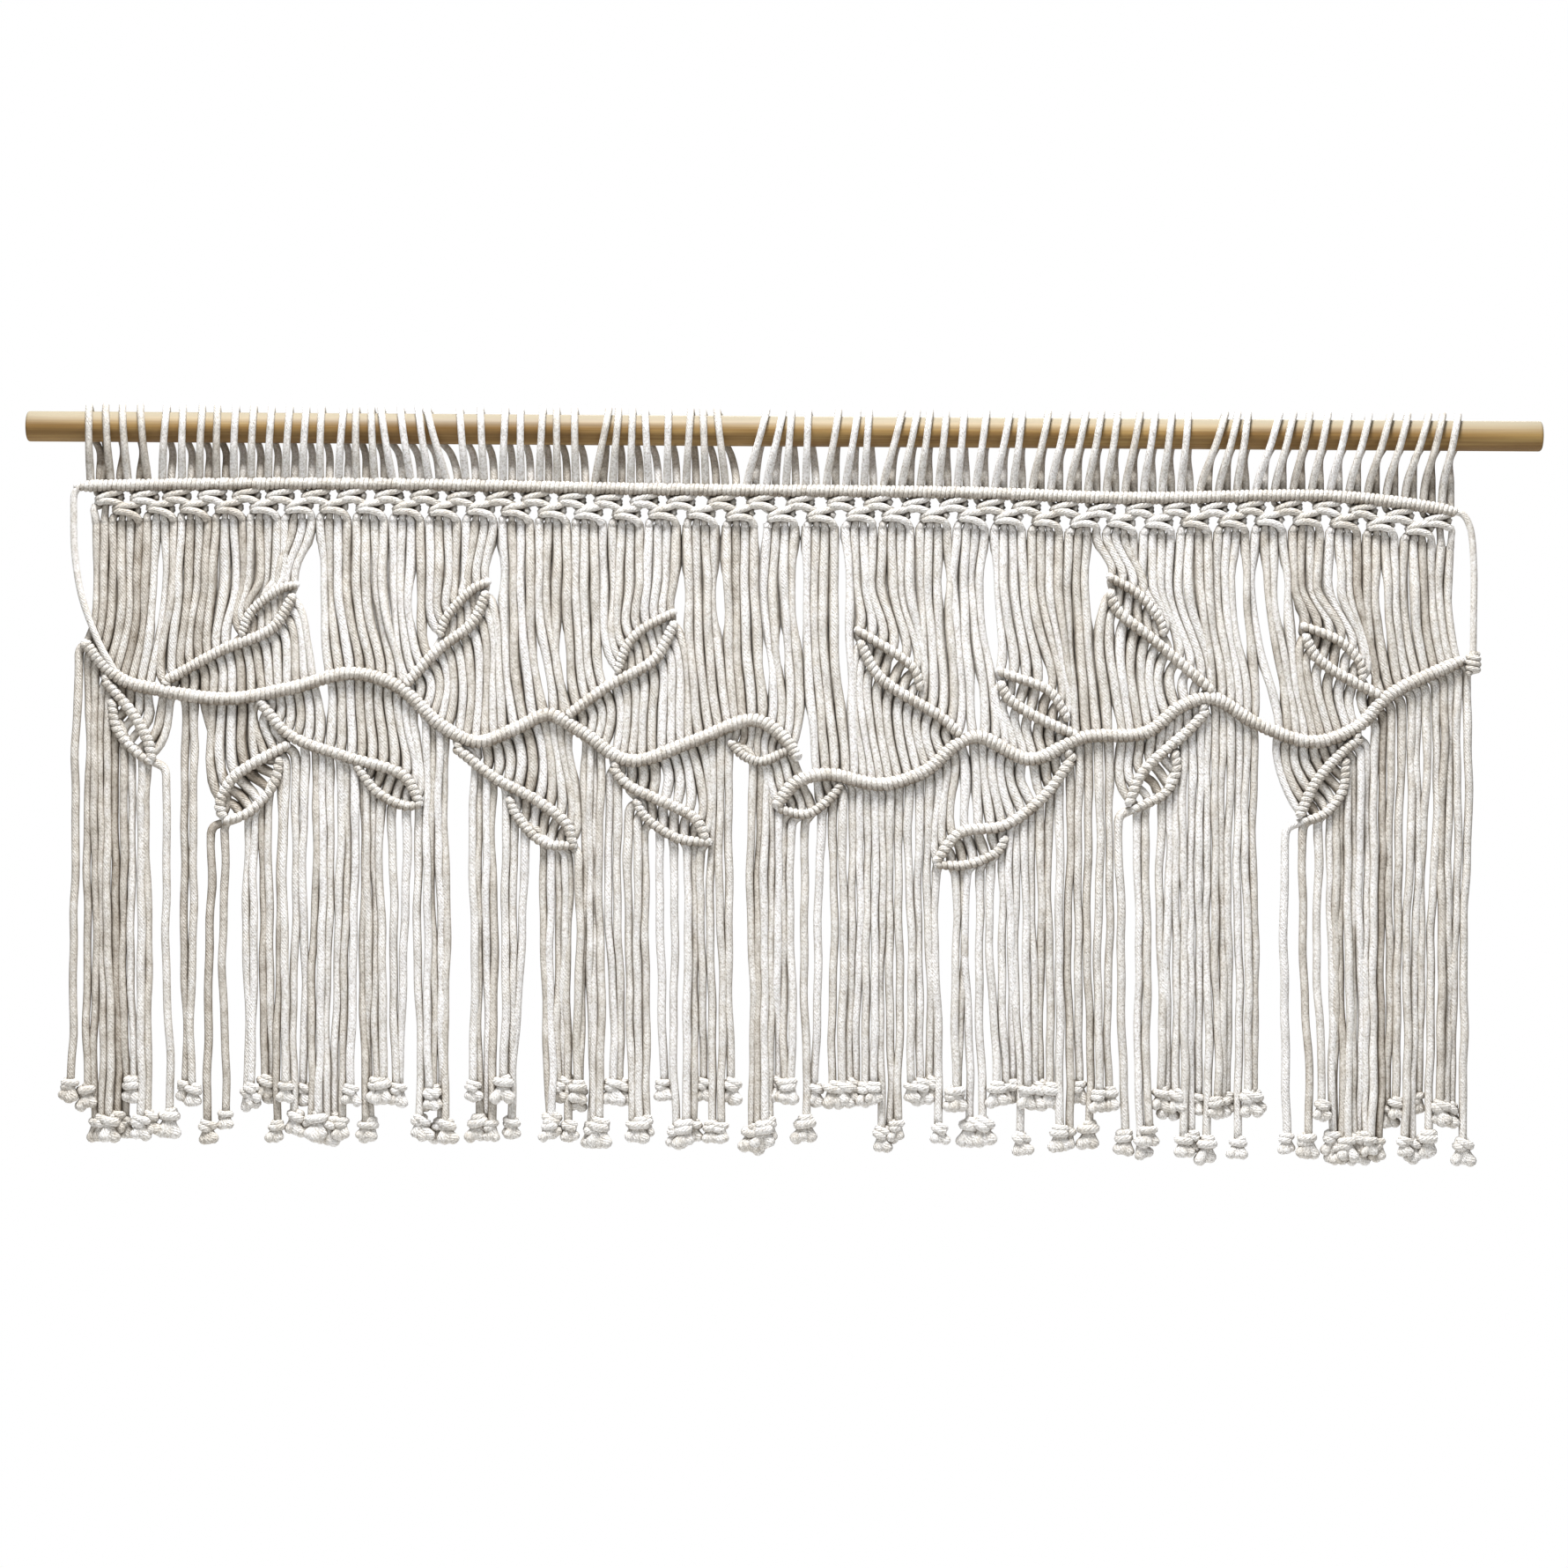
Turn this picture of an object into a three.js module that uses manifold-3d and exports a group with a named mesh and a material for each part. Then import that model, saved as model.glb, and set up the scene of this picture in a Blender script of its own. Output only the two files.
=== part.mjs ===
// A macrame curtain hanging on a plain wooden rod. Millimetres, +Z up.
// The origin is the middle of the rod's axis, the rod runs along X and the front of the curtain faces -Y.
import * as THREE from 'three';
import { mergeVertices } from 'three/addons/utils/BufferGeometryUtils.js';
import Module from 'manifold-3d';

const wasm = await Module();
wasm.setup();

// Driving sizes.
const ROD_LENGTH = 1100;
const ROD_RADIUS = 11;
const ROD_EDGE = 2;
const ROD_SIDES = 24;
const CORD_RADIUS = 2.4;
const GAP = 0.3;

// The strands hang in one layer, a tooth of the comb being a bundle of strands side by side.
const STRANDS = 148;
const LAYER_HALF = 2.2;
const BUNDLE_MARGIN = 3.6;
const HANGING_MARGIN = 2.5;
const OPEN_GAP = 8.5;
const OPEN_PARTING = 5;
const COMB_EDGE = 8;

// A bar is a row of double half hitches over a holding cord: a half round that lies on the front of the layer.
const BAR_RADIUS = 4.8;
const BAR_AXIS_Y = -3.1;
const BAR_BACK_Y = -(LAYER_HALF + GAP);
const BAR_SIDES = 4;
const TOP_BAR_SPACING = 45;
const VINE_SPACING = 18;
const LEAF_SPACING = 12;

// The two rows of square knots under the top bar.
const BAND_HEIGHT = 23;
const BAND_HALF = 4.6;

// Heights of the parted strands, and of the two rows of end knots at the left edge with their fall to the right.
const PARTING_HEIGHT = -118;
const HANG_DROP = 45;
const HANG_HEIGHT = -357;
const KNOT_HEIGHTS = { upper: -484, lower: -507 };
const KNOT_FALL = 12 / 1000;
const KNOT_SIZE = { halfWidth: 5, halfDepth: 4.8, halfHeight: 7 };

// The side cords and the barrel knot at the right edge.
const SIDE_CORD_SIDES = 8;
const SIDE_CORD_SPACING = 12;
const BARREL = { x: 500.8, y: -3.6, z: -165.5, radius: 6.2, height: 16, sides: 14 };

const COTTON = { color: 0xe9e4da, roughness: 0.95, metalness: 0 };
const COTTON_SHADED = { color: 0xd9d2c5, roughness: 0.95, metalness: 0 };
const WOOD = { color: 0xc9a36b, roughness: 0.6, metalness: 0 };

// Where the strands leave the square knots: the x of a strand, straight between the rows.
const SPACING = [
  { strand: -1, x: -506 },
  { strand: 25.5, x: -340.5 },
  { strand: 65.5, x: -75 },
  { strand: 81.5, x: 41 },
  { strand: 148, x: 491 },
];

// Bars as points [x, z] from their first strand to their last.
const TOP_BAR = [[-514, -43.5], [-400, -41], [-280, -40.5], [-90, -43], [135, -44], [250, -47],
  [392, -44.5], [450, -49.5], [494, -56.5]];
const BARS = [
  { name: 'vine_left', first: 0, last: 77,
    points: [[-507, -157], [-481, -183], [-452, -191], [-404, -197], [-357, -189], [-314, -178],
      [-280, -187], [-248, -215], [-222, -227], [-193, -217], [-170, -207], [-145, -220],
      [-111, -240], [-66, -226], [-20, -210], [0, -222], [11, -237]] },
  { name: 'vine_right', first: 74, last: 147,
    points: [[-4, -272], [10, -255], [32, -249], [72, -256], [104, -246], [126, -227], [142, -221],
      [180, -237], [218, -221], [264, -217], [289, -198], [312, -192], [344, -210], [385, -223],
      [417, -212], [440, -189], [492, -163.5]] },
];

// Each leaf is a branch bar and a shorter edge bar that meet at its tip. The two leaves at the ends of the
// vines have the vine itself for their other edge.
const LEAVES = [
  { name: 'leaf_left_1', first: 9, last: 23, branch: [[-447, -184], [-408, -162], [-370, -145], [-356, -122]],
    edgeFirst: 17, edgeLast: 23, edge: [[-393, -151], [-387, -135], [-365, -117], [-353, -114]] },
  { name: 'leaf_left_2', first: 34, last: 43, branch: [[-272, -184], [-251, -161], [-225, -140], [-216, -119]],
    edgeFirst: 38, edgeLast: 43, edge: [[-249, -150], [-245, -138], [-225, -116], [-214, -111]] },
  { name: 'leaf_left_3', first: 52, last: 63, branch: [[-154, -206], [-127, -186], [-93, -166], [-79, -140]],
    edgeFirst: 57, edgeLast: 63, edge: [[-120, -176], [-114, -158], [-104, -146], [-79, -132]] },
  { name: 'leaf_left_4', first: 3, last: 10, branch: [[-492, -184], [-470, -211], [-460, -230], [-458, -241]],
    edgeFirst: 5, edgeLast: 10, edge: [[-487, -199], [-483, -220], [-467, -238], [-458, -243]] },
  { name: 'leaf_left_5', first: 13, last: 21, branch: [[-403, -282], [-406, -274], [-399, -255], [-359, -230]],
    edgeFirst: 13, edgeLast: 19, edge: [[-401, -284], [-388, -279], [-369, -259], [-365, -240]] },
  { name: 'leaf_left_6', first: 19, last: 35,
    branch: [[-378, -201], [-358, -223], [-315, -239], [-275, -252], [-264, -270]],
    edgeFirst: 29, edgeLast: 35, edge: [[-309, -245], [-294, -264], [-273, -274], [-262, -272]] },
  { name: 'leaf_left_7', first: 40, last: 52,
    branch: [[-236, -232], [-209, -253], [-177, -270], [-156, -287], [-152, -300]],
    edgeFirst: 45, edgeLast: 52, edge: [[-198, -268], [-193, -280], [-173, -300], [-150, -302]] },
  { name: 'leaf_left_8', first: 57, last: 66, branch: [[-122, -246], [-113, -257], [-63, -282], [-56, -296]],
    edgeFirst: 59, edgeLast: 66, edge: [[-106, -269], [-100, -280], [-76, -296], [-52, -299]] },
  { name: 'leaf_left_9', edgeFirst: 70, edgeLast: 77, edge: [[-38, -226], [-28, -236], [-15, -240], [6, -230]] },
  { name: 'leaf_right_1', edgeFirst: 74, edgeLast: 80, edge: [[-3, -274], [18, -278], [38, -263], [42, -256]] },
  { name: 'leaf_right_2', first: 83, last: 94, branch: [[56, -153], [70, -178], [115, -207], [129, -220]],
    edgeFirst: 83, edgeLast: 89, edge: [[53, -144], [90, -167], [97, -176], [100, -186]] },
  { name: 'leaf_right_3', first: 98, last: 105, branch: [[158, -182], [163, -192], [176, -202], [214, -220]],
    edgeFirst: 98, edgeLast: 104, edge: [[156, -173], [167, -177], [194, -188], [207, -208]] },
  { name: 'leaf_right_4', first: 109, last: 119, branch: [[237, -115], [242, -128], [268, -149], [312, -187]],
    edgeFirst: 109, edgeLast: 115, edge: [[236, -104], [259, -118], [274, -137], [276, -146]] },
  { name: 'leaf_right_5', first: 130, last: 137, branch: [[379, -146], [385, -159], [396, -169], [433, -189]],
    edgeFirst: 130, edgeLast: 136, edge: [[377, -139], [404, -150], [419, -166], [421, -178]] },
  { name: 'leaf_right_6', first: 91, last: 105,
    branch: [[112, -312], [129, -291], [162, -285], [190, -264], [210, -237]],
    edgeFirst: 91, edgeLast: 97, edge: [[112, -314], [134, -314], [157, -304], [162, -294]] },
  { name: 'leaf_right_7', first: 110, last: 119, branch: [[252, -269], [261, -247], [296, -214], [306, -203]],
    edgeFirst: 110, edgeLast: 115, edge: [[255, -273], [278, -261], [286, -246], [285, -231]] },
  { name: 'leaf_right_8', first: 126, last: 135, branch: [[376, -277], [387, -253], [407, -230], [418, -221]],
    edgeFirst: 126, edgeLast: 132, edge: [[378, -281], [394, -275], [407, -258], [409, -236]] },
];

// Loops side by side on the rod, in bunches with bare wood between them.
const BUNCHES = [
  { first: 0, from: -502, to: -479 },
  { first: 3, from: -464, to: -335 },
  { first: 14, from: -319, to: -280 },
  { first: 19, from: -265, to: -259 },
  { first: 21, from: -235, to: -219 },
  { first: 23, from: -200, to: -192 },
  { first: 25, from: -175, to: -152 },
  { first: 28, from: -126, to: -102 },
  { first: 32, from: -85, to: -85 },
  { first: 33, from: -68, to: -50 },
  { first: 36, from: -13, to: 15 },
  { first: 40, from: 42, to: 63 },
  { first: 43, from: 86, to: 104 },
  { first: 46, from: 117, to: 145 },
  { first: 49, from: 166, to: 172 },
  { first: 51, from: 191, to: 218 },
  { first: 54, from: 228, to: 240 },
  { first: 56, from: 256, to: 291 },
  { first: 60, from: 319, to: 335 },
  { first: 63, from: 357, to: 378 },
  { first: 66, from: 392, to: 464 },
  { first: 72, from: 473, to: 484 },
];

// Open partings between the square knots and the vines: the last strand to their left and their width.
const PARTINGS = [
  { after: 15, width: 3 },
  { after: 24, width: 7 },
  { after: 29, width: 3 },
  { after: 44, width: 4 },
  { after: 63, width: 4 },
  { after: 81, width: 3 },
  { after: 100, width: 3 },
  { after: 108, width: 3 },
  { after: 124, width: 5 },
  { after: 126, width: 5 },
  { after: 134, width: 5 },
];

// How the strands hang below the leaves: each bundle's first strand, the x of its first and last strand,
// and how far it drifts sideways by the time it reaches the end knots.
const BUNDLES = [
  { first: 0, from: -512, to: -512, drift: -3 },
  { first: 1, from: -505, to: -473, drift: 2 },
  { first: 8, from: -466, to: -461, drift: 2 },
  { first: 10, from: -446, to: -446, drift: 2 },
  { first: 11, from: -433, to: -428, drift: 1 },
  { first: 13, from: -415, to: -415, drift: -1 },
  { first: 14, from: -404, to: -404, drift: 1 },
  { first: 15, from: -389, to: -378, drift: 2 },
  { first: 18, from: -371, to: -360, drift: 1 },
  { first: 21, from: -353, to: -347, drift: 0 },
  { first: 23, from: -339, to: -310, drift: -2 },
  { first: 29, from: -305, to: -292, drift: 4 },
  { first: 33, from: -282, to: -282, drift: 3 },
  { first: 34, from: -274, to: -274, drift: 1 },
  { first: 35, from: -263, to: -245, drift: 2 },
  { first: 40, from: -224, to: -210, drift: 1 },
  { first: 44, from: -201, to: -195, drift: 0 },
  { first: 46, from: -186, to: -186, drift: -9 },
  { first: 47, from: -174, to: -174, drift: 7 },
  { first: 48, from: -167, to: -154, drift: 1 },
  { first: 52, from: -147, to: -132, drift: 1 },
  { first: 57, from: -125, to: -120, drift: 3 },
  { first: 59, from: -110, to: -100, drift: 3 },
  { first: 62, from: -88, to: -88, drift: 4 },
  { first: 63, from: -79, to: -79, drift: 3 },
  { first: 64, from: -69, to: -59, drift: 1 },
  { first: 67, from: -51, to: -38, drift: 2 },
  { first: 70, from: -22, to: -2, drift: 1 },
  { first: 75, from: 2, to: 8, drift: 2 },
  { first: 77, from: 18, to: 18, drift: 1 },
  { first: 78, from: 28, to: 28, drift: -5 },
  { first: 79, from: 37, to: 37, drift: 1 },
  { first: 80, from: 45, to: 55, drift: 0 },
  { first: 83, from: 61, to: 85, drift: 1 },
  { first: 88, from: 93, to: 113, drift: 2 },
  { first: 92, from: 126, to: 136, drift: 2 },
  { first: 95, from: 143, to: 143, drift: 4 },
  { first: 96, from: 152, to: 152, drift: 5 },
  { first: 97, from: 160, to: 181, drift: 4 },
  { first: 102, from: 187, to: 237, drift: 2 },
  { first: 110, from: 245, to: 245, drift: 4 },
  { first: 111, from: 258, to: 264, drift: 4 },
  { first: 113, from: 275, to: 346, drift: 1 },
  { first: 126, from: 366, to: 366, drift: 3 },
  { first: 127, from: 379, to: 379, drift: 5 },
  { first: 128, from: 390, to: 390, drift: 3 },
  { first: 129, from: 397, to: 430, drift: 2 },
  { first: 136, from: 438, to: 498, drift: -2 },
];

// The free stretches of the holding cord down both sides, as points [x, y, z].
const SIDE_CORDS = [
  { name: 'side_cord_left', route: [[-515, -3.1, -48.8], [-515.5, -3.1, -62], [-514.5, -3.3, -92],
    [-509.5, -4.2, -122], [-501, -5.2, -146], [-493, -5.6, -162.5]] },
  { name: 'side_cord_right', route: [[496, -3.1, -61.6], [499.5, -3.2, -76], [501, -3.3, -98],
    [501, -3.4, -124], [500.8, -3.6, -157]] },
];

// ---------------------------------------------------------------------------------------------------------

// A straight run between the rows of a table of named columns.
function between(rows, column, value, result) {
  const after = Math.max(1, rows.findIndex((row) => row[column] >= value));
  const low = rows[after - 1];
  const high = rows[after];
  return THREE.MathUtils.mapLinear(value, low[column], high[column], low[result], high[result]);
}

// The place of one strand or loop in a table of bundles, which share their span evenly.
function placeIn(rows, count, index) {
  const at = rows.findLastIndex((row) => row.first <= index);
  const row = rows[at];
  const last = (at + 1 < rows.length ? rows[at + 1].first : count) - 1;
  const share = last > row.first ? (index - row.first) / (last - row.first) : 0.5;
  return { row, x: THREE.MathUtils.lerp(row.from, row.to, share) };
}

function curveThrough(points, y = BAR_AXIS_Y) {
  return new THREE.CatmullRomCurve3(points.map(([x, z]) => new THREE.Vector3(x, y, z)));
}

const topBarCurve = curveThrough(TOP_BAR);
const topBarPoints = topBarCurve.getSpacedPoints(24).map(({ x, z }) => ({ x, z }));

function topBarHeight(x) {
  return between(topBarPoints, 'x', x, 'z');
}

// Every bar that strands cross, with its curve and the strands it takes.
const crossedBars = [
  ...BARS.map(({ name, first, last, points }) => ({ name, first, last, curve: curveThrough(points) })),
  ...LEAVES.filter((leaf) => leaf.branch).map((leaf) => (
    { name: leaf.name, first: leaf.first, last: leaf.last, curve: curveThrough(leaf.branch) })),
  ...LEAVES.map((leaf) => (
    { name: leaf.name, first: leaf.edgeFirst, last: leaf.edgeLast, curve: curveThrough(leaf.edge) })),
];

function crossings(strand) {
  return crossedBars
    .filter(({ first, last }) => first <= strand && strand <= last)
    .map(({ first, last, curve }) => curve.getPointAt((strand - first + 0.5) / (last - first + 1)))
    .map(({ x, z }) => ({ x, z, margin: BUNDLE_MARGIN }))
    .sort((a, b) => b.z - a.z);
}

// A parting pushes the nearest strands aside, less and less over a few strands.
function partingShift(strand) {
  const REACH = 4;
  let shift = 0;
  for (const { after, width } of PARTINGS) {
    const away = strand <= after ? after - strand : strand - after - 1;
    const side = strand <= after ? -1 : 1;
    shift += side * (width / 2) * Math.max(0, 1 - away / REACH);
  }
  return shift;
}

function knotHeight(level, x) {
  return KNOT_HEIGHTS[level] - KNOT_FALL * (x + ROD_LENGTH / 2);
}

// The way of one strand from the square knots to its end knot, from the top down.
function strandRoute(strand) {
  const topX = between(SPACING, 'strand', strand, 'x');
  const top = { x: topX, z: topBarHeight(topX) - BAR_RADIUS - BAND_HEIGHT - COMB_EDGE, margin: BUNDLE_MARGIN };
  const crossed = crossings(strand);
  const parted = { x: topX + partingShift(strand), z: PARTING_HEIGHT, margin: BUNDLE_MARGIN - GAP };
  const { row, x } = placeIn(BUNDLES, STRANDS, strand);
  const lowest = crossed[crossed.length - 1];
  const hang = { x, z: Math.max(lowest.z - HANG_DROP, HANG_HEIGHT), margin: HANGING_MARGIN };
  const end = { x: x + row.drift, z: knotHeight('lower', x), margin: HANGING_MARGIN };
  const upper = crossed[0].z < PARTING_HEIGHT - HANG_DROP / 3 ? [top, parted] : [top];
  return [...upper, ...crossed, hang, end];
}

// ---------------------------------------------------------------------------------------------------------
// Solids.

function toSolid(geometry) {
  const bare = geometry.clone();
  bare.deleteAttribute('normal');
  bare.deleteAttribute('uv');
  const merged = mergeVertices(bare, 1e-4);
  return new wasm.Manifold(new wasm.Mesh({
    numProp: 3,
    vertProperties: new Float32Array(merged.attributes.position.array),
    triVerts: new Uint32Array(merged.index.array),
  }));
}

function toGeometry(solid) {
  const { vertProperties, triVerts, numProp } = solid.getMesh();
  const geometry = new THREE.BufferGeometry();
  const positions = new Float32Array((vertProperties.length / numProp) * 3);
  for (let vertex = 0; vertex < positions.length / 3; vertex += 1) {
    positions.set(vertProperties.subarray(vertex * numProp, vertex * numProp + 3), vertex * 3);
  }
  geometry.setAttribute('position', new THREE.BufferAttribute(positions, 3));
  geometry.setIndex(new THREE.BufferAttribute(triVerts, 1));
  geometry.computeVertexNormals();
  return geometry;
}

function joined(geometries) {
  return wasm.Manifold.union(geometries.map(toSolid));
}

// A half round section: its flat back faces +Y, and grow makes it larger all round.
function barSection(grow = 0) {
  const radius = BAR_RADIUS + grow;
  const back = BAR_AXIS_Y - BAR_BACK_Y - grow;
  const start = Math.asin(back / radius);
  const section = new THREE.Shape();
  for (let side = 0; side <= BAR_SIDES; side += 1) {
    const angle = start + ((Math.PI - 2 * start) * side) / BAR_SIDES;
    section[side ? 'lineTo' : 'moveTo'](radius * Math.sin(angle), -radius * Math.cos(angle));
  }
  return section;
}

function barAlong(curve, spacing, grow = 0) {
  const steps = Math.max(5, Math.round(curve.getLength() / spacing));
  return new THREE.ExtrudeGeometry(barSection(grow), { steps, extrudePath: curve });
}

// A flat plate with the outline [x, z], from back to front about y = 0.
function plate(outline, half) {
  const shape = new THREE.Shape(outline.map(({ x, z }) => new THREE.Vector2(x, z)));
  const geometry = new THREE.ExtrudeGeometry(shape, { depth: 2 * half, bevelEnabled: false });
  return geometry.translate(0, 0, -half).rotateX(Math.PI / 2);
}

// A strip of even height that follows the top bar, from one drop below its axis to another.
function stripUnderTopBar(fromX, toX, upperDrop, lowerDrop, half) {
  const xs = [fromX, ...topBarPoints.map(({ x }) => x).filter((x) => x > fromX && x < toX), toX];
  const upper = xs.map((x) => ({ x, z: topBarHeight(x) - upperDrop }));
  const lower = xs.map((x) => ({ x, z: topBarHeight(x) - lowerDrop })).reverse();
  return plate([...upper, ...lower], half);
}

function roundTube(route, radius, sides, spacing) {
  const curve = new THREE.CatmullRomCurve3(route.map((point) => new THREE.Vector3(...point)));
  const section = new THREE.Shape();
  for (let side = 0; side < sides; side += 1) {
    const angle = (2 * Math.PI * side) / sides;
    section[side ? 'lineTo' : 'moveTo'](radius * Math.cos(angle), radius * Math.sin(angle));
  }
  const steps = Math.round(curve.getLength() / spacing);
  return new THREE.ExtrudeGeometry(section, { steps, extrudePath: curve });
}

// ---------------------------------------------------------------------------------------------------------
// Pieces.

const curtain = new THREE.Group();

function addPiece(name, geometry, finish) {
  const piece = new THREE.Mesh(geometry, new THREE.MeshStandardMaterial(finish));
  piece.name = name;
  curtain.add(piece);
}

function makeRod() {
  const half = ROD_LENGTH / 2;
  const profile = [[0, -half], [ROD_RADIUS - ROD_EDGE, -half], [ROD_RADIUS, -half + ROD_EDGE],
    [ROD_RADIUS, half - ROD_EDGE], [ROD_RADIUS - ROD_EDGE, half], [0, half]];
  const points = profile.map(([radius, along]) => new THREE.Vector2(radius, along));
  return new THREE.LatheGeometry(points, ROD_SIDES).rotateZ(-Math.PI / 2);
}

// Two neighbouring loops as one band over the rod, seen from its end as [y, z].
function loopBand(fromX, toX) {
  const outerRadius = ROD_RADIUS + GAP + 2 * CORD_RADIUS;
  const innerCorner = (ROD_RADIUS + GAP) / Math.cos(Math.PI / 6) + GAP;
  const foot = topBarHeight((fromX + toX) / 2) + BAR_RADIUS / 2;
  const shoulder = foot + BAR_RADIUS;
  const outline = new THREE.Shape([new THREE.Vector2(LAYER_HALF, foot), new THREE.Vector2(LAYER_HALF, shoulder)]);
  for (let corner = 0; corner <= 4; corner += 1) {
    const angle = (Math.PI * corner) / 4;
    outline.lineTo(outerRadius * Math.cos(angle), outerRadius * Math.sin(angle));
  }
  outline.lineTo(-LAYER_HALF, shoulder);
  outline.lineTo(-LAYER_HALF, foot);
  const eye = new THREE.Path([new THREE.Vector2(0, shoulder + BAR_RADIUS)]);
  for (let corner = 0; corner <= 3; corner += 1) {
    const angle = (Math.PI * corner) / 3;
    eye.lineTo(innerCorner * Math.cos(angle), innerCorner * Math.sin(angle));
  }
  outline.holes.push(eye);
  const band = new THREE.ExtrudeGeometry(outline, { depth: toX - fromX, bevelEnabled: false });
  return band.rotateX(Math.PI / 2).rotateZ(Math.PI / 2).translate(fromX, 0, 0);
}

function makeHeading() {
  const loops = STRANDS / 2;
  const bands = [];
  for (let loop = 0; loop < loops; loop += 2) {
    const left = placeIn(BUNCHES, loops, loop).x - CORD_RADIUS;
    const right = placeIn(BUNCHES, loops, loop + 1).x + CORD_RADIUS;
    bands.push(loopBand(left, right));
  }
  const foot = stripUnderTopBar(SPACING[0].x, SPACING[4].x, -BAR_RADIUS, BAR_RADIUS, LAYER_HALF);
  return joined([...bands, foot]);
}

function makeBand() {
  const upper = BAR_RADIUS + GAP;
  return stripUnderTopBar(SPACING[0].x, SPACING[4].x, upper, upper + BAND_HEIGHT - GAP, BAND_HALF);
}

// One tooth of the comb: the bundle from its first strand to its last, and the lump of its end knots.
function bundlePieces(first, last) {
  const left = strandRoute(first).map(({ x, z, margin }) => ({ x: x - margin, z }));
  const right = strandRoute(last).map(({ x, z, margin }) => ({ x: x + margin, z }));
  const tooth = plate([...left, ...right.reverse()], LAYER_HALF);
  const level = first === last && first % 2 === 0 ? 'upper' : 'lower';
  const ends = [first, last].map((strand) => strandRoute(strand).at(-1).x);
  const middle = (ends[0] + ends[1]) / 2;
  const width = ends[1] - ends[0] + 2 * KNOT_SIZE.halfWidth;
  const lump = new THREE.BoxGeometry(width, 2 * KNOT_SIZE.halfDepth, 2 * KNOT_SIZE.halfHeight);
  lump.translate(middle, 0, knotHeight(level, middle));
  return [tooth, lump];
}

// The first strand of each tooth: neighbouring bundles share a tooth unless a wide gap lies between them.
function toothStarts() {
  const hung = (strand) => placeIn(BUNDLES, STRANDS, strand).x;
  const gaps = BUNDLES.slice(1).filter(({ first }) => hung(first) - hung(first - 1) > OPEN_GAP);
  const partings = PARTINGS.filter(({ width }) => width >= OPEN_PARTING);
  const starts = new Set([0, ...gaps.map(({ first }) => first), ...partings.map(({ after }) => after + 1)]);
  return [...starts].sort((a, b) => a - b);
}

function makeStringCurtain() {
  const firsts = toothStarts();
  const teeth = firsts.flatMap((first, at) => bundlePieces(first, (firsts[at + 1] ?? STRANDS) - 1));
  const upper = BAR_RADIUS + GAP + BAND_HEIGHT;
  const edge = stripUnderTopBar(SPACING[0].x, SPACING[4].x, upper, upper + COMB_EDGE, LAYER_HALF);
  return joined([...teeth, edge]);
}

function makeLeaf({ branch, edge }) {
  const curves = [branch, edge].filter(Boolean).map((points) => curveThrough(points));
  return joined(curves.map((curve) => barAlong(curve, LEAF_SPACING)));
}

addPiece('rod', makeRod(), WOOD);
addPiece('loop_heading', toGeometry(makeHeading()), COTTON);
addPiece('top_bar', barAlong(topBarCurve, TOP_BAR_SPACING), COTTON);
addPiece('square_knot_band', makeBand(), COTTON_SHADED);
addPiece('string_curtain', toGeometry(makeStringCurtain()), COTTON_SHADED);

const vineClearance = joined(BARS.map(({ points }) => barAlong(curveThrough(points), VINE_SPACING, GAP)));
for (const { name, points } of BARS) {
  addPiece(name, barAlong(curveThrough(points), VINE_SPACING), COTTON);
}
const leafSolids = new Map(LEAVES.map((leaf) => [leaf.name, makeLeaf(leaf).subtract(vineClearance)]));
const mainLeaf = LEAVES.find(({ name }) => name === 'leaf_left_6');
const sideLeaf = 'leaf_left_5';
const mainLeafClearance = joined([mainLeaf.branch, mainLeaf.edge].map((points) => (
  barAlong(curveThrough(points), LEAF_SPACING, GAP))));
leafSolids.set(sideLeaf, leafSolids.get(sideLeaf).subtract(mainLeafClearance));
for (const [name, solid] of leafSolids) {
  addPiece(name, toGeometry(solid), COTTON);
}

for (const { name, route } of SIDE_CORDS) {
  addPiece(name, roundTube(route, CORD_RADIUS, SIDE_CORD_SIDES, SIDE_CORD_SPACING), COTTON);
}
function makeBarrel() {
  const profile = [[0, -0.5], [0.7, -0.5], [1, -0.25], [1, 0.25], [0.7, 0.5], [0, 0.5]];
  const points = profile.map(([radius, along]) => (
    new THREE.Vector2(radius * BARREL.radius, along * BARREL.height)));
  return new THREE.LatheGeometry(points, BARREL.sides).rotateX(Math.PI / 2).translate(BARREL.x, BARREL.y, BARREL.z);
}

addPiece('side_knot', makeBarrel(), COTTON);

export default curtain;
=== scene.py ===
"""A macrame curtain of cotton string on a wooden rod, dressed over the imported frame.

Lengths are millimetres on the frame's own axes until a mesh is made: the middle of the rod is the origin,
the rod runs along X, the curtain's front faces -Y and Z is up. Strands are counted from the left.
"""

import math

import bpy
import numpy as np
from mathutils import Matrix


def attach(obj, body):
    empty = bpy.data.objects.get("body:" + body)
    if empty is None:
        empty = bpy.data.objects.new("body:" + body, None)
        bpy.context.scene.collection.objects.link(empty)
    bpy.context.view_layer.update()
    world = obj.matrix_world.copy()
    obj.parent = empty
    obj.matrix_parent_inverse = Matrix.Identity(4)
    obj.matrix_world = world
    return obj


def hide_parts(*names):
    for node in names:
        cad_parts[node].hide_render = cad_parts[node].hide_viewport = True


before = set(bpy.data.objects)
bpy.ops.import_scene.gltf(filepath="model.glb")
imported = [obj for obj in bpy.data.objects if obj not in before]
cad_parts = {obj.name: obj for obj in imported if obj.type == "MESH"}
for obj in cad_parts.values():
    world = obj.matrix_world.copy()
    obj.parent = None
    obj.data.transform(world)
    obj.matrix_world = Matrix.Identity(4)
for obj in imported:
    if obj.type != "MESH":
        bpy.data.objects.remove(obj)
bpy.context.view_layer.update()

MM = 0.001
FRONT = np.array([0.0, -1.0, 0.0])
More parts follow.
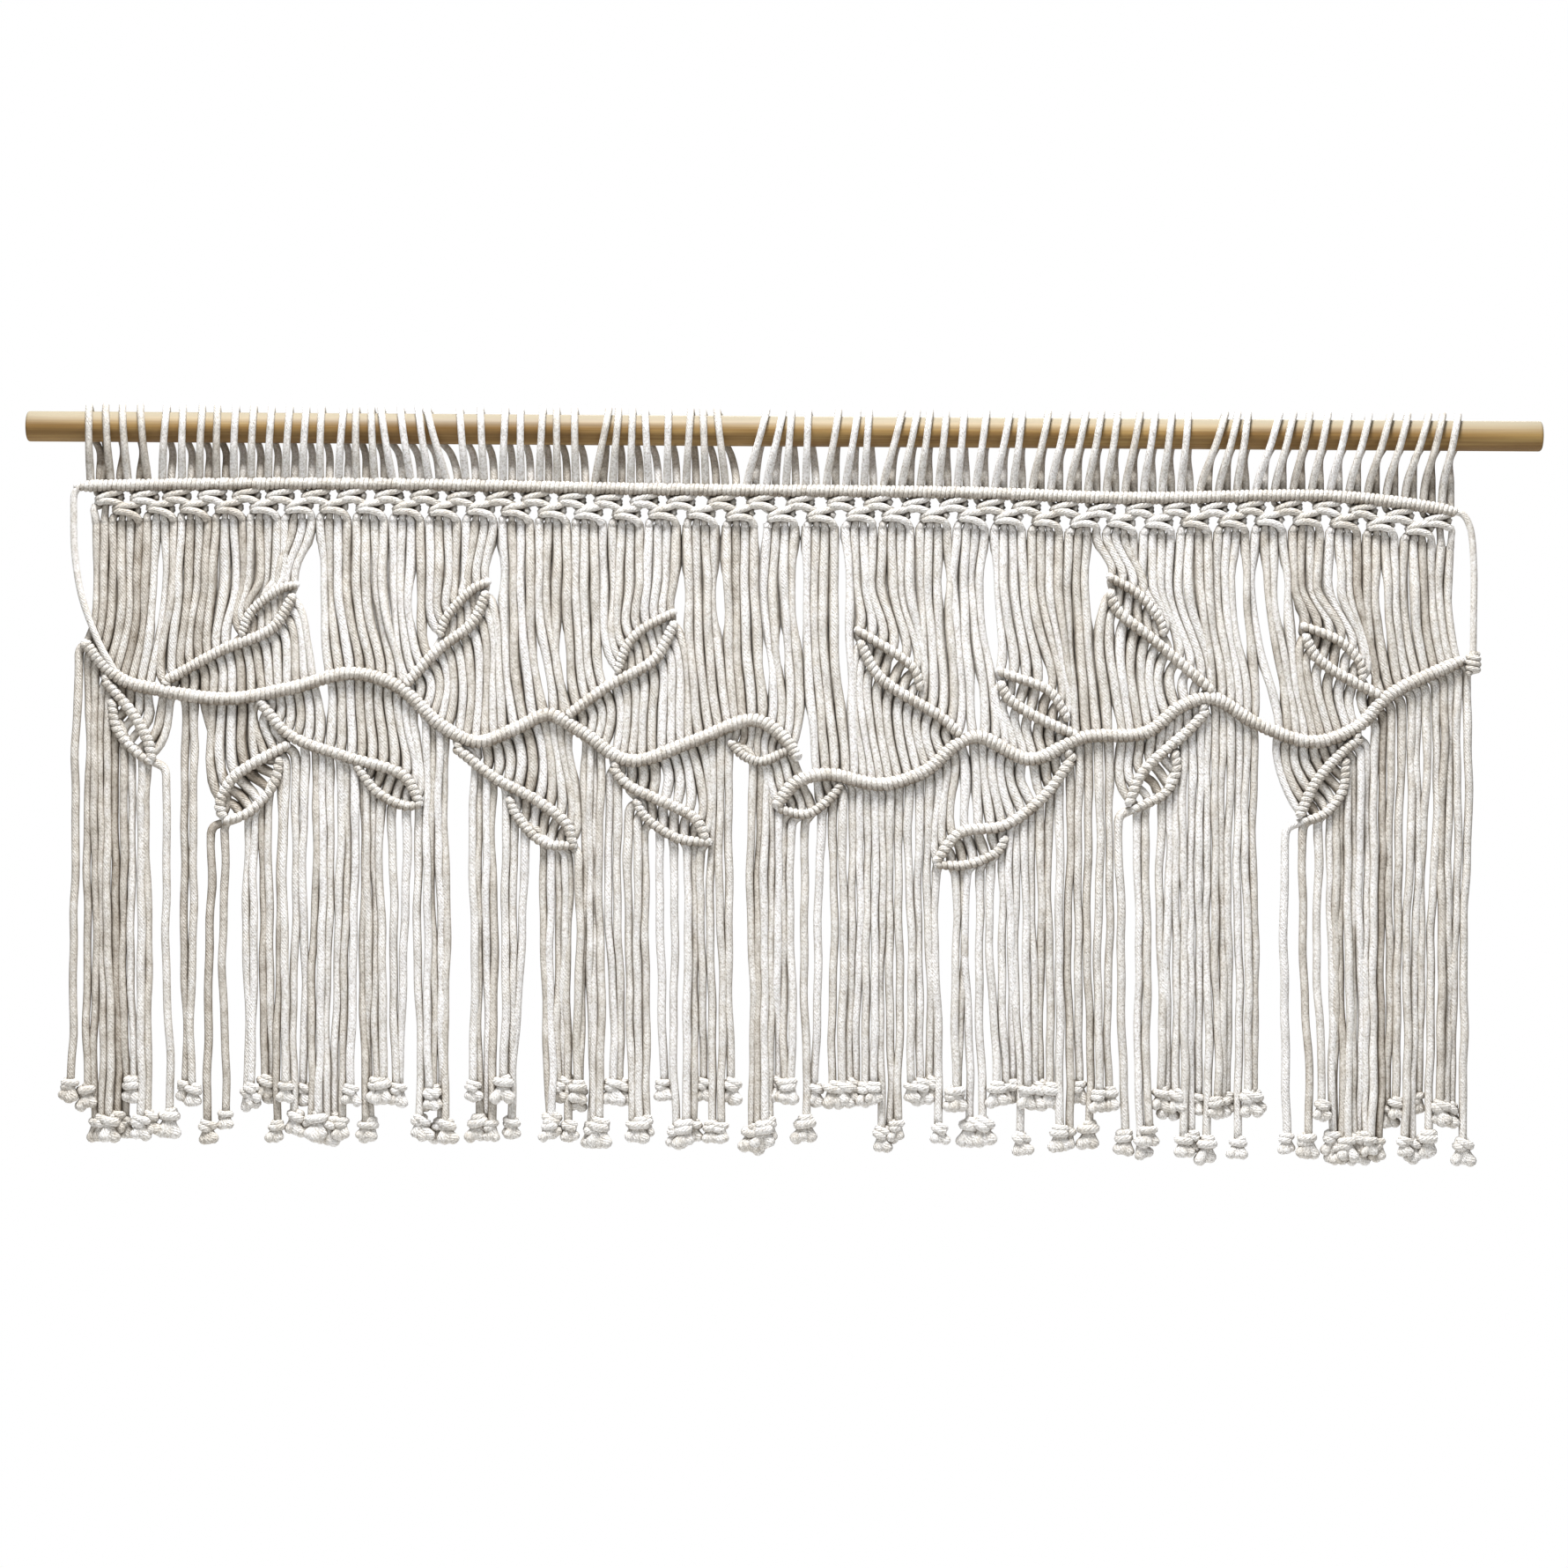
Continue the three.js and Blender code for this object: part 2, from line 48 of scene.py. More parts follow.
DOWN = np.array([0.0, 0.0, -1.0])

# The string where it hangs, where a knot grips it and where it is stretched inside a leaf. Below the last
# bar it swells as it untwists.
STRANDS = 148
STRING_RADIUS = 2.65
GRIPPED_RADIUS = 2.3
LEAF_STRING = 2.25
FRINGE_SWELL = 1.13

# Neighbours up to the closable gap apart, from middle to middle, press flat and fill the room between them.
# The widest string is how far a back can be pressed to a side. The front spreads by the fullest share, above
# the last bar and below it. Beyond the lone gap a string counts as alone.
CLOSABLE_GAP = 9.2
WIDEST_STRING = 5.4
FULLEST = {"above": 1.24, "below": 1.2}
LONE_GAP = 7.5

# The pitch of four strings that leave one knot, and how many strings each side of a parting feel it.
BUNDLED_PITCH = 6.5
PARTED_STRANDS = 4

ROD_RADIUS = 11.0
ROD_LENGTH = 1100.0

# Hitched bars lie on the front of the strands. Each strand makes two wraps. Fullness is the width of a
# wrap against the room it has: the fuller, the smoother the bar. A bar gets thinner over the taper at each
# end. A wrap's line has so many points a turn.
BAR_Y = -3.1
WRAP_DEPTH = 1.75
BAR_OUTER = {"top": 4.9, "vine": 5.1, "branch": 4.3, "edge": 3.8}
BAR_FULLNESS = {"top": 1.2, "vine": 1.2, "branch": 1.16, "edge": 1.12}
TAPER = 9
TURN_POINTS = 12

# Depths of the square knots below the top bar's own line, and where the strands hang free of them.
KNOT_ROWS = {"first": -9.4, "second": -17.6}
BAND_FOOT = -25.2

# The height at which strands part above the vines, and how far below its last bar a strand hangs straight.
PARTING_HEIGHT = -108.0
SOONEST_DROP = 8.0
HANG_DROP = 34.0
HANG_HEIGHT = -357.0

# ---------------------------------------------------------------------------------------------------------
# Tables. Bars and side cords run as the frame's do.

SPACING = {"strand": [-1, 25.5, 65.5, 81.5, 148], "x": [-506, -340.5, -75, 41, 491]}

TOP_BAR = [(-514, -43.5), (-400, -41), (-280, -40.5), (-90, -43), (135, -44), (250, -47), (392, -44.5),
           (450, -49.5), (490, -56)]
VINES = [
    {"name": "vine_left", "first": 0, "last": 77,
     "points": [(-507, -157), (-481, -183), (-452, -191), (-404, -197), (-357, -189), (-314, -178),
                (-280, -187), (-248, -215), (-222, -227), (-193, -217), (-170, -207), (-145, -220),
                (-111, -240), (-66, -226), (-20, -210), (0, -222), (11, -237)]},
    {"name": "vine_right", "first": 74, "last": 147,
     "points": [(-4, -272), (10, -255), (32, -249), (72, -256), (104, -246), (126, -227), (142, -221),
                (180, -237), (218, -221), (264, -217), (289, -198), (312, -192), (344, -210), (385, -223),
                (417, -212), (440, -189), (492, -163.5)]},
]
# A leaf is a branch and a shorter edge that meet at its tip, as (first strand, last strand, points).
LEAVES = [
    {"name": "leaf_left_1", "branch": (9, 25, [(-447, -184), (-408, -162), (-370, -145), (-356, -122)]),
     "edge": (17, 25, [(-393, -151), (-387, -135), (-365, -117), (-353, -114)])},
    {"name": "leaf_left_2", "branch": (34, 45, [(-272, -184), (-251, -161), (-225, -140), (-216, -119)]),
     "edge": (38, 45, [(-249, -150), (-245, -138), (-225, -116), (-214, -111)])},
    {"name": "leaf_left_3", "branch": (52, 65, [(-154, -206), (-127, -186), (-93, -166), (-79, -140)]),
     "edge": (57, 65, [(-120, -176), (-114, -158), (-104, -146), (-79, -132)])},
    {"name": "leaf_left_4", "branch": (3, 10, [(-492, -184), (-470, -211), (-460, -230), (-458, -241)]),
     "edge": (5, 10, [(-487, -199), (-483, -220), (-467, -238), (-458, -243)])},
    {"name": "leaf_left_5", "branch": (13, 21, [(-406, -283), (-408, -274), (-399, -255), (-359, -230)]),
     "edge": (13, 19, [(-405, -286), (-388, -280), (-369, -259), (-365, -240)])},
    {"name": "leaf_left_6",
     "branch": (19, 35, [(-378, -201), (-358, -223), (-315, -239), (-275, -252), (-264, -270)]),
     "edge": (29, 35, [(-309, -245), (-294, -264), (-273, -274), (-262, -272)])},
    {"name": "leaf_left_7",
     "branch": (40, 52, [(-236, -232), (-209, -253), (-177, -270), (-156, -287), (-152, -300)]),
     "edge": (45, 52, [(-198, -268), (-193, -280), (-173, -300), (-150, -302)])},
    {"name": "leaf_left_8", "branch": (57, 66, [(-122, -246), (-113, -257), (-63, -282), (-56, -296)]),
     "edge": (59, 66, [(-106, -269), (-100, -280), (-76, -296), (-52, -299)])},
    {"name": "leaf_left_9", "edge": (70, 77, [(-38, -226), (-28, -236), (-15, -240), (6, -230)])},
    {"name": "leaf_right_1", "edge": (74, 80, [(-3, -274), (18, -278), (38, -263), (42, -256)])},
    {"name": "leaf_right_2", "branch": (83, 94, [(56, -153), (70, -178), (115, -207), (129, -220)]),
     "edge": (83, 89, [(53, -144), (90, -167), (97, -176), (100, -186)])},
    {"name": "leaf_right_3", "branch": (98, 105, [(158, -182), (163, -192), (176, -202), (214, -220)]),
     "edge": (98, 104, [(156, -173), (167, -177), (194, -188), (207, -208)])},
    {"name": "leaf_right_4", "branch": (109, 119, [(237, -115), (242, -128), (268, -149), (312, -187)]),
     "edge": (109, 115, [(236, -104), (259, -118), (274, -137), (276, -146)])},
    {"name": "leaf_right_5", "branch": (130, 137, [(379, -146), (385, -159), (396, -169), (433, -189)]),
     "edge": (130, 136, [(377, -139), (404, -150), (419, -166), (421, -178)])},
    {"name": "leaf_right_6",
     "branch": (91, 105, [(112, -312), (129, -291), (162, -285), (190, -264), (210, -237)]),
     "edge": (91, 97, [(112, -314), (134, -314), (157, -304), (162, -294)])},
    {"name": "leaf_right_7", "branch": (110, 119, [(252, -269), (261, -247), (296, -214), (306, -203)]),
     "edge": (110, 115, [(255, -273), (278, -261), (286, -246), (285, -231)])},
    {"name": "leaf_right_8", "branch": (126, 135, [(376, -277), (387, -253), (407, -230), (418, -221)]),
     "edge": (126, 132, [(378, -281), (394, -275), (407, -258), (409, -236)])},
]

# Where each loop crosses the rod, and how far to the left of its strands the first ones land. Towards the
# ends of the rod the loops lean outward. Their legs are led past a high and a low place under the rod.
LOOPS = [-503, -491, -479, -466, -447, -435, -421, -410, -397, -384, -371, -358, -346, -335, -319, -310, -299,
         -292, -278, -265, -259, -235, -220, -202, -191, -175, -165, -152, -127, -120, -110, -101, -84, -68,
         -59, -49, -13, -1, 5, 17, 39, 53, 61, 85, 96, 105, 117, 130, 146, 163, 172, 191, 204, 218, 229, 241,
         257, 268, 280, 292, 319, 328, 335, 358, 368, 380, 393, 408, 423, 438, 451, 466, 476, 487]
EARLY_LANDINGS = [-4, -8, -8, -6, -2]
OUTWARD_LEAN = 0.009
LOOP_SLACK = 0.1
HIGH_LEG, LOW_LEG = -17, -34

# Partings between the square knots and the vines: the last strand to their left and their width.
PARTINGS = [(15, 3), (25, 6), (29, 3), (45, 4), (65, 4), (81, 3), (97, 4), (119, 4), (124, 5), (126, 5),
            (134, 4)]

# Bundles below the leaves: the first strand, the x of its first and last strand, and the drift down to the
# end knots.
BUNDLES = [(0, -512, -512, -3), (1, -505, -473, 2), (8, -466, -461, 2), (10, -446, -446, 2),
           (11, -433, -428, 1), (13, -415, -415, -1), (14, -404, -404, 1), (15, -389, -378, 2),
           (18, -371, -360, 1), (21, -353, -347, 0), (23, -339, -310, -2), (29, -305, -292, 4),
           (33, -282, -282, 3), (34, -274, -274, 1), (35, -263, -245, 2), (40, -224, -210, 1),
           (44, -201, -195, 0), (46, -186, -186, -9), (47, -174, -174, 7), (48, -167, -154, 1),
           (52, -147, -132, 1), (57, -125, -120, 3), (59, -110, -100, 3), (62, -88, -88, 4),
           (63, -79, -79, 3), (64, -69, -59, 1), (67, -51, -38, 2), (70, -22, -2, 1), (75, 2, 8, 2),
           (77, 18, 18, 1), (78, 28, 28, -5), (79, 37, 37, 1), (80, 45, 55, 0), (83, 61, 85, 1),
           (88, 93, 113, 2), (92, 126, 136, 2), (95, 143, 143, 4), (96, 152, 152, 5), (97, 160, 181, 4),
           (102, 187, 237, 2), (110, 245, 245, 4), (111, 258, 264, 4), (113, 275, 343, 1), (126, 366, 366, 3),
           (127, 379, 379, 5), (128, 390, 390, 3), (129, 397, 424, 2), (136, 431, 498, -2)]

# End knots hang at two heights, and gather in touching groups. A height is given along x. A group is its
# first and last x.
END_HEIGHTS = {"upper": ([-510, -150, 180, 330, 500], [-484, -480, -478.5, -488, -490]),
               "lower": ([-510, 0, 500], [-507, -509.5, -517])}
END_GROUPS = {
    "upper": [(-520, -497), (-473, -470), (-440, -420), (-393, -381), (-378, -335), (-324, -307),
              (-298, -274), (-258, -246), (-230, -218), (-210, -197), (-165, -143), (-125, -113),
              (-101, -79), (-59, -49), (-41, -27), (-11, 11), (21, 72), (88, 120), (122, 132), (149, 200),
              (210, 248), (273, 292), (296, 310), (314, 328), (336, 361), (387, 398), (437, 451),
              (459, 468), (475, 492)],
    "lower": [(-504, -472), (-469, -456), (-455, -437), (-421, -410), (-408, -396), (-375, -361),
              (-358, -345), (-344, -294), (-270, -258), (-250, -230), (-222, -185), (-176, -160),
              (-158, -150), (-141, -124), (-115, -92), (-79, -59), (-56, -36), (-24, -4), (11, 30),
              (37, 47), (69, 92), (101, 122), (134, 153), (165, 183), (195, 234), (248, 277),
              (287, 320), (327, 343), (365, 391), (399, 442), (446, 475), (488, 508)]}

# The free stretches of the holding cord, and between which x it is hitched over.
SIDE_CORDS = {
    "side_cord_left": [(-512, -3.1, -44.2), (-515, -3.1, -48.8), (-515.5, -3.1, -62), (-514.5, -3.3, -92),
                       (-509.5, -4.2, -122), (-501, -5.2, -146), (-493, -5.6, -163.5),
                       (-488.5, -5.2, -171), (-484.5, -3.3, -178.5)],
    "side_cord_right": [(487, -3.1, -54.8), (493, -3.1, -57.6), (498, -3.2, -67), (501, -3.3, -98),
                        (501, -3.4, -124), (500.8, -3.6, -157)],
}
SIDE_CORD_RADIUS = 2.5
HITCHED = (-511.5, 489)
BARREL = {"x": 500.8, "y": -3.6, "top": -158.5, "foot": -172.5, "radius": 3.9}

# ---------------------------------------------------------------------------------------------------------
# Camera first. It stands square to the curtain, turned a hair so that the rod falls to the right.

CAMERA_DISTANCE = 3.0
VIEW_WIDTH = 1780 * 0.64 * MM
VIEW_CENTRE = (1.3 * MM, -256.2 * MM)
VIEW_ROLL = -0.383


def place_camera():
    data = bpy.data.cameras.new("camera")
    data.sensor_width = 36
    data.lens = data.sensor_width * CAMERA_DISTANCE / VIEW_WIDTH
    camera = bpy.data.objects.new("camera", data)
    camera.location = (VIEW_CENTRE[0], -CAMERA_DISTANCE, VIEW_CENTRE[1])
    camera.rotation_euler = (math.radians(90), math.radians(VIEW_ROLL), 0)
    bpy.context.scene.collection.objects.link(camera)
    bpy.context.scene.camera = camera


# ---------------------------------------------------------------------------------------------------------
# Lines and cords.


def rise(value, start, end):
    """0 up to start, 1 from end on, and a straight slope between."""
    return np.clip((value - start) / (end - start), 0, 1)


def unit(vectors):
    """A vector, or each row of several, made one long."""
    lengths = np.linalg.norm(vectors, axis=1)[:, None] if vectors.ndim > 1 else np.linalg.norm(vectors)
    return vectors / lengths


def steps_along(path):
    """How far along a line each of its points lies."""
    return np.concatenate([[0.0], np.cumsum(np.linalg.norm(np.diff(path[:, :3], axis=0), axis=1))])


def at_marks(marks, path, rows):
    """What rows, one for each point of a line, come to at marks of its length."""
    along = steps_along(path)
    return np.stack([np.interp(marks, along, column) for column in rows.T], axis=-1)


def evenly(path, step):
    """The same line with even steps."""
    length = steps_along(path)[-1]
    return at_marks(np.linspace(0, length, max(2, round(length / step) + 1)), path, path)


def smooth_line(points, step=1.0, fine=24):
    """A smooth line through points that doesn't overshoot, with even steps."""
    p = np.asarray(points, float)
    p = np.vstack([2 * p[0] - p[1], p, 2 * p[-1] - p[-2]])
    pieces = []
    for a, b, c, d in zip(p[:-3], p[1:-2], p[2:-1], p[3:]):
        tb = np.linalg.norm(b - a) ** 0.5
        tc = tb + np.linalg.norm(c - b) ** 0.5
        td = tc + np.linalg.norm(d - c) ** 0.5
        t = np.linspace(tb, tc, fine, endpoint=False)[:, None]
        ab = a + (b - a) * t / tb
        bc = b + (c - b) * (t - tb) / (tc - tb)
        cd = c + (d - c) * (t - tc) / (td - tc)
        abc = ab + (bc - ab) * t / tc
        bcd = bc + (cd - bc) * (t - tb) / (td - tb)
        pieces.append(abc + (bcd - abc) * (t - tb) / (tc - tb))
    pieces.append(p[-2:-1])
    return evenly(np.vstack(pieces), step)


def point_at(path, share):
    """The point and the direction of travel at a share of a line's length."""
    along = steps_along(path)
    at = share * along[-1]
    k = min(max(int(np.searchsorted(along, at)), 1), len(path) - 1)
    direction = path[min(k + 1, len(path) - 1)] - path[max(k - 2, 0)]
    return at_marks(at, path, path), unit(direction)


def thinned(path, longest=7.5, shortest=1.2, turn=0.17):
    """Keeps the points that the bends need, and the ends."""
    kept = [0]
    heading = None
    for k in range(1, len(path) - 1):
        ahead = unit(path[k + 1] - path[k])
        if heading is None:
            heading = ahead
        far = np.linalg.norm(path[k] - path[kept[-1]])
        if far >= longest or (far > shortest and math.acos(min(1.0, float(ahead @ heading))) > turn):
            kept.append(k)
            heading = ahead
    kept.append(len(path) - 1)
    return np.array(kept)


def travel(path):
    """The direction of travel at each point of a line."""
    return unit(np.gradient(path, axis=0))


def carried_side(directions):
    """A side direction carried along a line without twisting."""
    start = np.cross(directions[0], FRONT)
    side = start if np.linalg.norm(start) > 0.2 else np.cross(directions[0], (1.0, 0.0, 0.0))
    sides = []
    for direction in directions:
        side = side - direction * (side @ direction)
        side = side / math.sqrt(side @ side)
        sides.append(side)
    return np.array(sides)


# A rounded end is two more rings: their reach beyond the cord's end and their girth, both in radii. The back
# of a cord begins where the cosine of the angle from its front falls to the last value.
CAP_REACH = {"tip": 0.75, "neck": 0.45}
CAP_GIRTH = {"tip": 0.45, "neck": 0.85}
BACK_FROM = -0.3


class Skein:
    """Cords gathered into one mesh. Each cord is a closed tube with a map: once round it across, metres
    along it up. tone is the cord's colour, pale at 1 and grey at 0, and in places holds painted shade too.
    shaded is how dark its painted crease shade gets. Both may change along a cord."""

    def __init__(self):
        self.points, self.corners, self.sizes, self.map, self.tones, self.shades = [], [], [], [], [], []
        self.count = 0

    def lay(self, path, radius, sides=8, tone=0.5, shaded=1.0, side_shade=0.0, outward=None, flatness=1.0,
            spread=(1.0, 1.0), fullest=1.22, round_ends=True):
        """Lays one cord. radius may change along it. The side shade is painted shade: how much greyer its
        two sides are than its front and back. outward is the way its front faces, and flatness presses it
        flat that way. spread widens the left and the right of its back, and half as much its front, to no
        more than fullest."""
        path = np.asarray(path, float)
        radius = np.broadcast_to(np.asarray(radius, float), len(path)).copy()
        if round_ends:
            first, last = unit(path[0] - path[1]), unit(path[-1] - path[-2])
            r0, r1 = radius[0], radius[-1]
            before = [path[0] + first * CAP_REACH[ring] * r0 for ring in ("tip", "neck")]
            beyond = [path[-1] + last * CAP_REACH[ring] * r1 for ring in ("neck", "tip")]
            path = np.vstack([*before, path, *beyond])
            radius = np.concatenate([[CAP_GIRTH["tip"] * r0, CAP_GIRTH["neck"] * r0], radius,
                                     [CAP_GIRTH["neck"] * r1, CAP_GIRTH["tip"] * r1]])
            if outward is not None:
                outward = np.vstack([outward[:1], outward[:1], outward, outward[-1:], outward[-1:]])
        directions = travel(path)
        if outward is None:
            across = carried_side(directions)
        else:
            across = unit(outward - directions * np.sum(outward * directions, axis=1)[:, None])
        beside = np.cross(directions, across)
        turns = np.arange(sides) / sides
        facing = np.cos(2 * math.pi * turns)
        sideways = np.sin(2 * math.pi * turns)
        left, right = (np.broadcast_to(width, len(path))[:, None] for width in spread)
        wide = np.where(sideways > 0, left, right)
        front = np.minimum((1 + wide) / 2, np.broadcast_to(fullest, len(path))[:, None])
        wide = np.where(facing < BACK_FROM, wide, front)
        out = facing[None, :, None] * across[:, None, :] * flatness
        out = out + (sideways * wide)[:, :, None] * beside[:, None, :]
        rings = path[:, None, :] + out * radius[:, None, None]
        n = len(path)
        self.points.append(rings.reshape(-1, 3))
        ring, place = np.meshgrid(np.arange(n - 1), np.arange(sides), indexing="ij")
        after = (place + 1) % sides
        quads = np.stack([ring * sides + place, ring * sides + after, (ring + 1) * sides + after,
                          (ring + 1) * sides + place], axis=-1).reshape(-1)
        ends = np.concatenate([np.arange(sides)[::-1], (n - 1) * sides + np.arange(sides)])
        self.corners.append(self.count + np.concatenate([quads, ends]))
        self.sizes.append(np.concatenate([np.full((n - 1) * sides, 4), [sides, sides]]))
        along = steps_along(path) * MM
        u = np.stack([place, place + 1, place + 1, place], axis=-1) / sides
        v = np.stack([along[ring], along[ring], along[ring + 1], along[ring + 1]], axis=-1)
        flat_ends = np.stack([np.tile(turns, 2), np.repeat([along[0], along[-1]], sides)], axis=-1)
        self.map.append(np.vstack([np.stack([u, v], axis=-1).reshape(-1, 2), flat_ends]))
        # Painted shade: the two sides of the cord are greyer than its front and back.
        painted_side_shade = np.broadcast_to(side_shade, n)[:, None] * (1 - abs(facing))[None]
        self.tones.append((np.broadcast_to(tone, n)[:, None] - painted_side_shade).ravel())
        self.shades.append(np.repeat(np.broadcast_to(shaded, n), sides))
        self.count += n * sides

    def made(self, name, *nodes, finish=None, slot="cotton_cord"):
        """The mesh as a piece that stands for frame nodes, of cotton unless another finish is given."""
        corners = np.concatenate(self.corners).astype(np.int32)
        sizes = np.concatenate(self.sizes).astype(np.int32)
        mesh = bpy.data.meshes.new(name)
        mesh.vertices.add(self.count)
        mesh.vertices.foreach_set("co", (np.vstack(self.points) * MM).astype(np.float32).ravel())
        mesh.loops.add(len(corners))
        mesh.loops.foreach_set("vertex_index", corners)
        mesh.polygons.add(len(sizes))
        mesh.polygons.foreach_set("loop_start", np.concatenate([[0], np.cumsum(sizes)[:-1]]).astype(np.int32))
        mesh.polygons.foreach_set("use_smooth", np.ones(len(sizes), bool))
        mesh.update(calc_edges=True)
        layer = mesh.uv_layers.new(name="cord")
        layer.data.foreach_set("uv", np.vstack(self.map).astype(np.float32).ravel())
        for key, values in (("tone", self.tones), ("shaded", self.shades)):
            layer = mesh.attributes.new(key, "FLOAT", "POINT")
            layer.data.foreach_set("value", np.concatenate(values).astype(np.float32))
        return dressed(mesh, name, finish or cotton, slot, *nodes)


def dressed(mesh, name, material, slot, *nodes):
    """Puts a piece into the scene under the root and hides the frame nodes that it stands for."""
    piece = bpy.data.objects.new(name, mesh)
    bpy.context.scene.collection.objects.link(piece)
    mesh.materials.append(material)
    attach(piece, "root")
    if nodes:
        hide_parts(*nodes)
    return piece


# ---------------------------------------------------------------------------------------------------------
# Where bars and strands lie.


# A branch whose end lies this far from a vine's line grows on until it is sunk in the vine.
BESIDE_VINE = (5, 16)
SUNK_IN_VINE = 4

# How freely strands slide along a bar to run straighter, and at most how far. Neighbours stay apart by the
# closest share of their even pitch. By the settled drop below its last bar a strand is in its bundle.
FREELY = {"vine": 0.6, "branch": 0.2, "edge": 0.2}
FARTHEST_SLIDE = 10
CLOSEST = 0.75
SETTLED_DROP = 25


def in_front(points):
    return [(x, BAR_Y, z) for x, z in points]


top_bar_line = smooth_line(in_front(TOP_BAR))


def top_bar_height(x):
    return float(np.interp(x, top_bar_line[:, 0], top_bar_line[:, 2]))


def grown_to_vine(line, vines):
    """A branch that starts beside a vine is led on until it touches the vine."""
    for end in (0, -1):
        apart = np.vstack(vines) - line[end]
        nearest = apart[np.argmin(np.linalg.norm(apart, axis=1))]
        far = np.linalg.norm(nearest)
        if BESIDE_VINE[0] < far < BESIDE_VINE[1]:
            reached = line[end] + nearest * (far - SUNK_IN_VINE) / far
            through = [*line[:-3:6], line[-1]]
            line = smooth_line([reached, *through] if end == 0 else [*through, reached])
    return line


def every_bar():
    bars = []
    for vine in VINES:
        bars.append({"piece": vine["name"], "kind": "vine", "first": vine["first"], "last": vine["last"],
                     "line": smooth_line(in_front(vine["points"]))})
    for leaf in LEAVES:
        for kind in ("branch", "edge"):
            if kind in leaf:
                first, last, points = leaf[kind]
                line = smooth_line(in_front(points))
                if kind == "branch":
                    line = grown_to_vine(line, [bar["line"] for bar in bars[:2]])
                bars.append({"piece": leaf["name"], "kind": kind, "first": first, "last": last, "line": line})
    return bars


bars = every_bar()


def even_shares(bar):
    """Even places for a bar's strands, the first and the last a little in from its tips."""
    count = bar["last"] - bar["first"] + 1
    return (np.arange(count) + 0.22) / (count - 0.56)


def crossings(strand):
    """Where the strand passes behind bars, from the top down: the point and the way out below the bar."""
    found = []
    for bar in bars:
        if bar["first"] <= strand <= bar["last"]:
            point, along = point_at(bar["line"], bar["shares"][strand - bar["first"]])
            out = np.array([along[2], 0.0, -along[0]])
            out = out if out[2] <= 0 else -out
            found.append((np.array([point[0], 0.0, point[2]]), out, bar))
    return sorted(found, key=lambda crossing: -crossing[0][2])


def knot_spacing_x(strand):
    return float(np.interp(strand, SPACING["strand"], SPACING["x"]))


def knotted_four(strand):
    """The middle of the four strands that leave one square knot of the second row, and the strand's place
    among them."""
    part = (strand - 2) % 4 if 2 <= strand < STRANDS - 2 else 1.5
    return strand - part + 1.5, part - 1.5


def below_knots_x(strand):
    """Fours of strands leave their knot close together, with a slit between one four and the next."""
    middle, place = knotted_four(strand)
    if place == 0:
        return knot_spacing_x(strand)
    return knot_spacing_x(middle) + place * BUNDLED_PITCH


def in_bundle(strand):
    """The x of a strand in its bundle, and its drift further down."""
    row = max(k for k, bundle in enumerate(BUNDLES) if bundle[0] <= strand)
    first, left, right, drift = BUNDLES[row]
    last = (BUNDLES[row + 1][0] if row + 1 < len(BUNDLES) else STRANDS) - 1
    share = (strand - first) / (last - first) if last > first else 0.5
    return left + (right - left) * share, drift


def parting_shift(strand):
    """How far partings push a strand aside, less and less over the next few strands."""
    shift = 0.0
    for after, width in PARTINGS:
        away = after - strand if strand <= after else strand - after - 1
        side = -1 if strand <= after else 1
        shift += side * width / 2 * max(0.0, 1 - away / PARTED_STRANDS)
    return shift


def settle_crossings():
    """Slides the strands along the bars so that each runs straighter from where it comes to where it goes."""
    for bar in bars:
        bar["shares"] = even_shares(bar)
    for _ in range(3):
        wished = [np.zeros(bar["last"] - bar["first"] + 1) for bar in bars]
        for strand in range(STRANDS):
            crossed = crossings(strand)
            x = below_knots_x(strand)
            stops = [(x, top_bar_height(x) + BAND_FOOT), *((point[0], point[2]) for point, _, _ in crossed),
                     (in_bundle(strand)[0], crossed[-1][0][2] - SETTLED_DROP)]
            for (x0, z0), (_, z1), (x2, z2), (_, _, bar) in zip(stops[:-2], stops[1:-1], stops[2:], crossed):
                k = next(k for k, other in enumerate(bars) if other is bar)
                wished[k][strand - bar["first"]] = x0 + (x2 - x0) * (z0 - z1) / max(z0 - z2, 1)
        for bar, targets in zip(bars, wished):
            length = steps_along(bar["line"])[-1]
            even = even_shares(bar) * length
            reach = np.maximum.accumulate(bar["line"][:, 0])
            near_tip = np.minimum(np.arange(len(even)), np.arange(len(even))[::-1]) / 3
            wish = np.interp(targets, reach, steps_along(bar["line"])) - even
            moved = (FREELY[bar["kind"]] * wish).clip(-FARTHEST_SLIDE, FARTHEST_SLIDE)
            marks = even + moved * (1 if bar["kind"] == "vine" else near_tip.clip(0, 1))
            pitch = length / len(even)
            for k in range(1, len(even)):
                marks[k] = max(marks[k], marks[k - 1] + CLOSEST * pitch)
            marks[-1] = min(marks[-1], length - 0.3 * pitch)
            for k in range(len(even) - 2, -1, -1):
                marks[k] = min(marks[k], marks[k + 1] - CLOSEST * pitch)
            bar["settled"] = marks / length
        for bar in bars:
            bar["shares"] = bar["settled"]


settle_crossings()

# Small irregularities of handwork, the same at every run. Every other strand lies further back and is a
# little greyer, and so are the strands towards both sides: painted shade.
handwork = np.random.default_rng(20)
strand_tone_and_shade = handwork.uniform(0.15, 1.3, STRANDS) - 0.3 * (np.arange(STRANDS) % 2)
strand_tone_and_shade -= 0.5 * rise(abs(np.arange(STRANDS) - STRANDS / 2), 50, 70)
strand_waves = handwork.uniform(0, 2 * math.pi, (STRANDS, 6))
end_slip = handwork.normal(0, 2.4, STRANDS).clip(-5, 5)
hang_slip = handwork.normal(0, 0.8, STRANDS).clip(-1.6, 1.6)
strand_girth = handwork.uniform(0.97, 1.05, STRANDS)
strand_depth = handwork.uniform(-2.4, 2.4, STRANDS)
widest_closed = handwork.uniform(8.4, 12.0, STRANDS + 1)
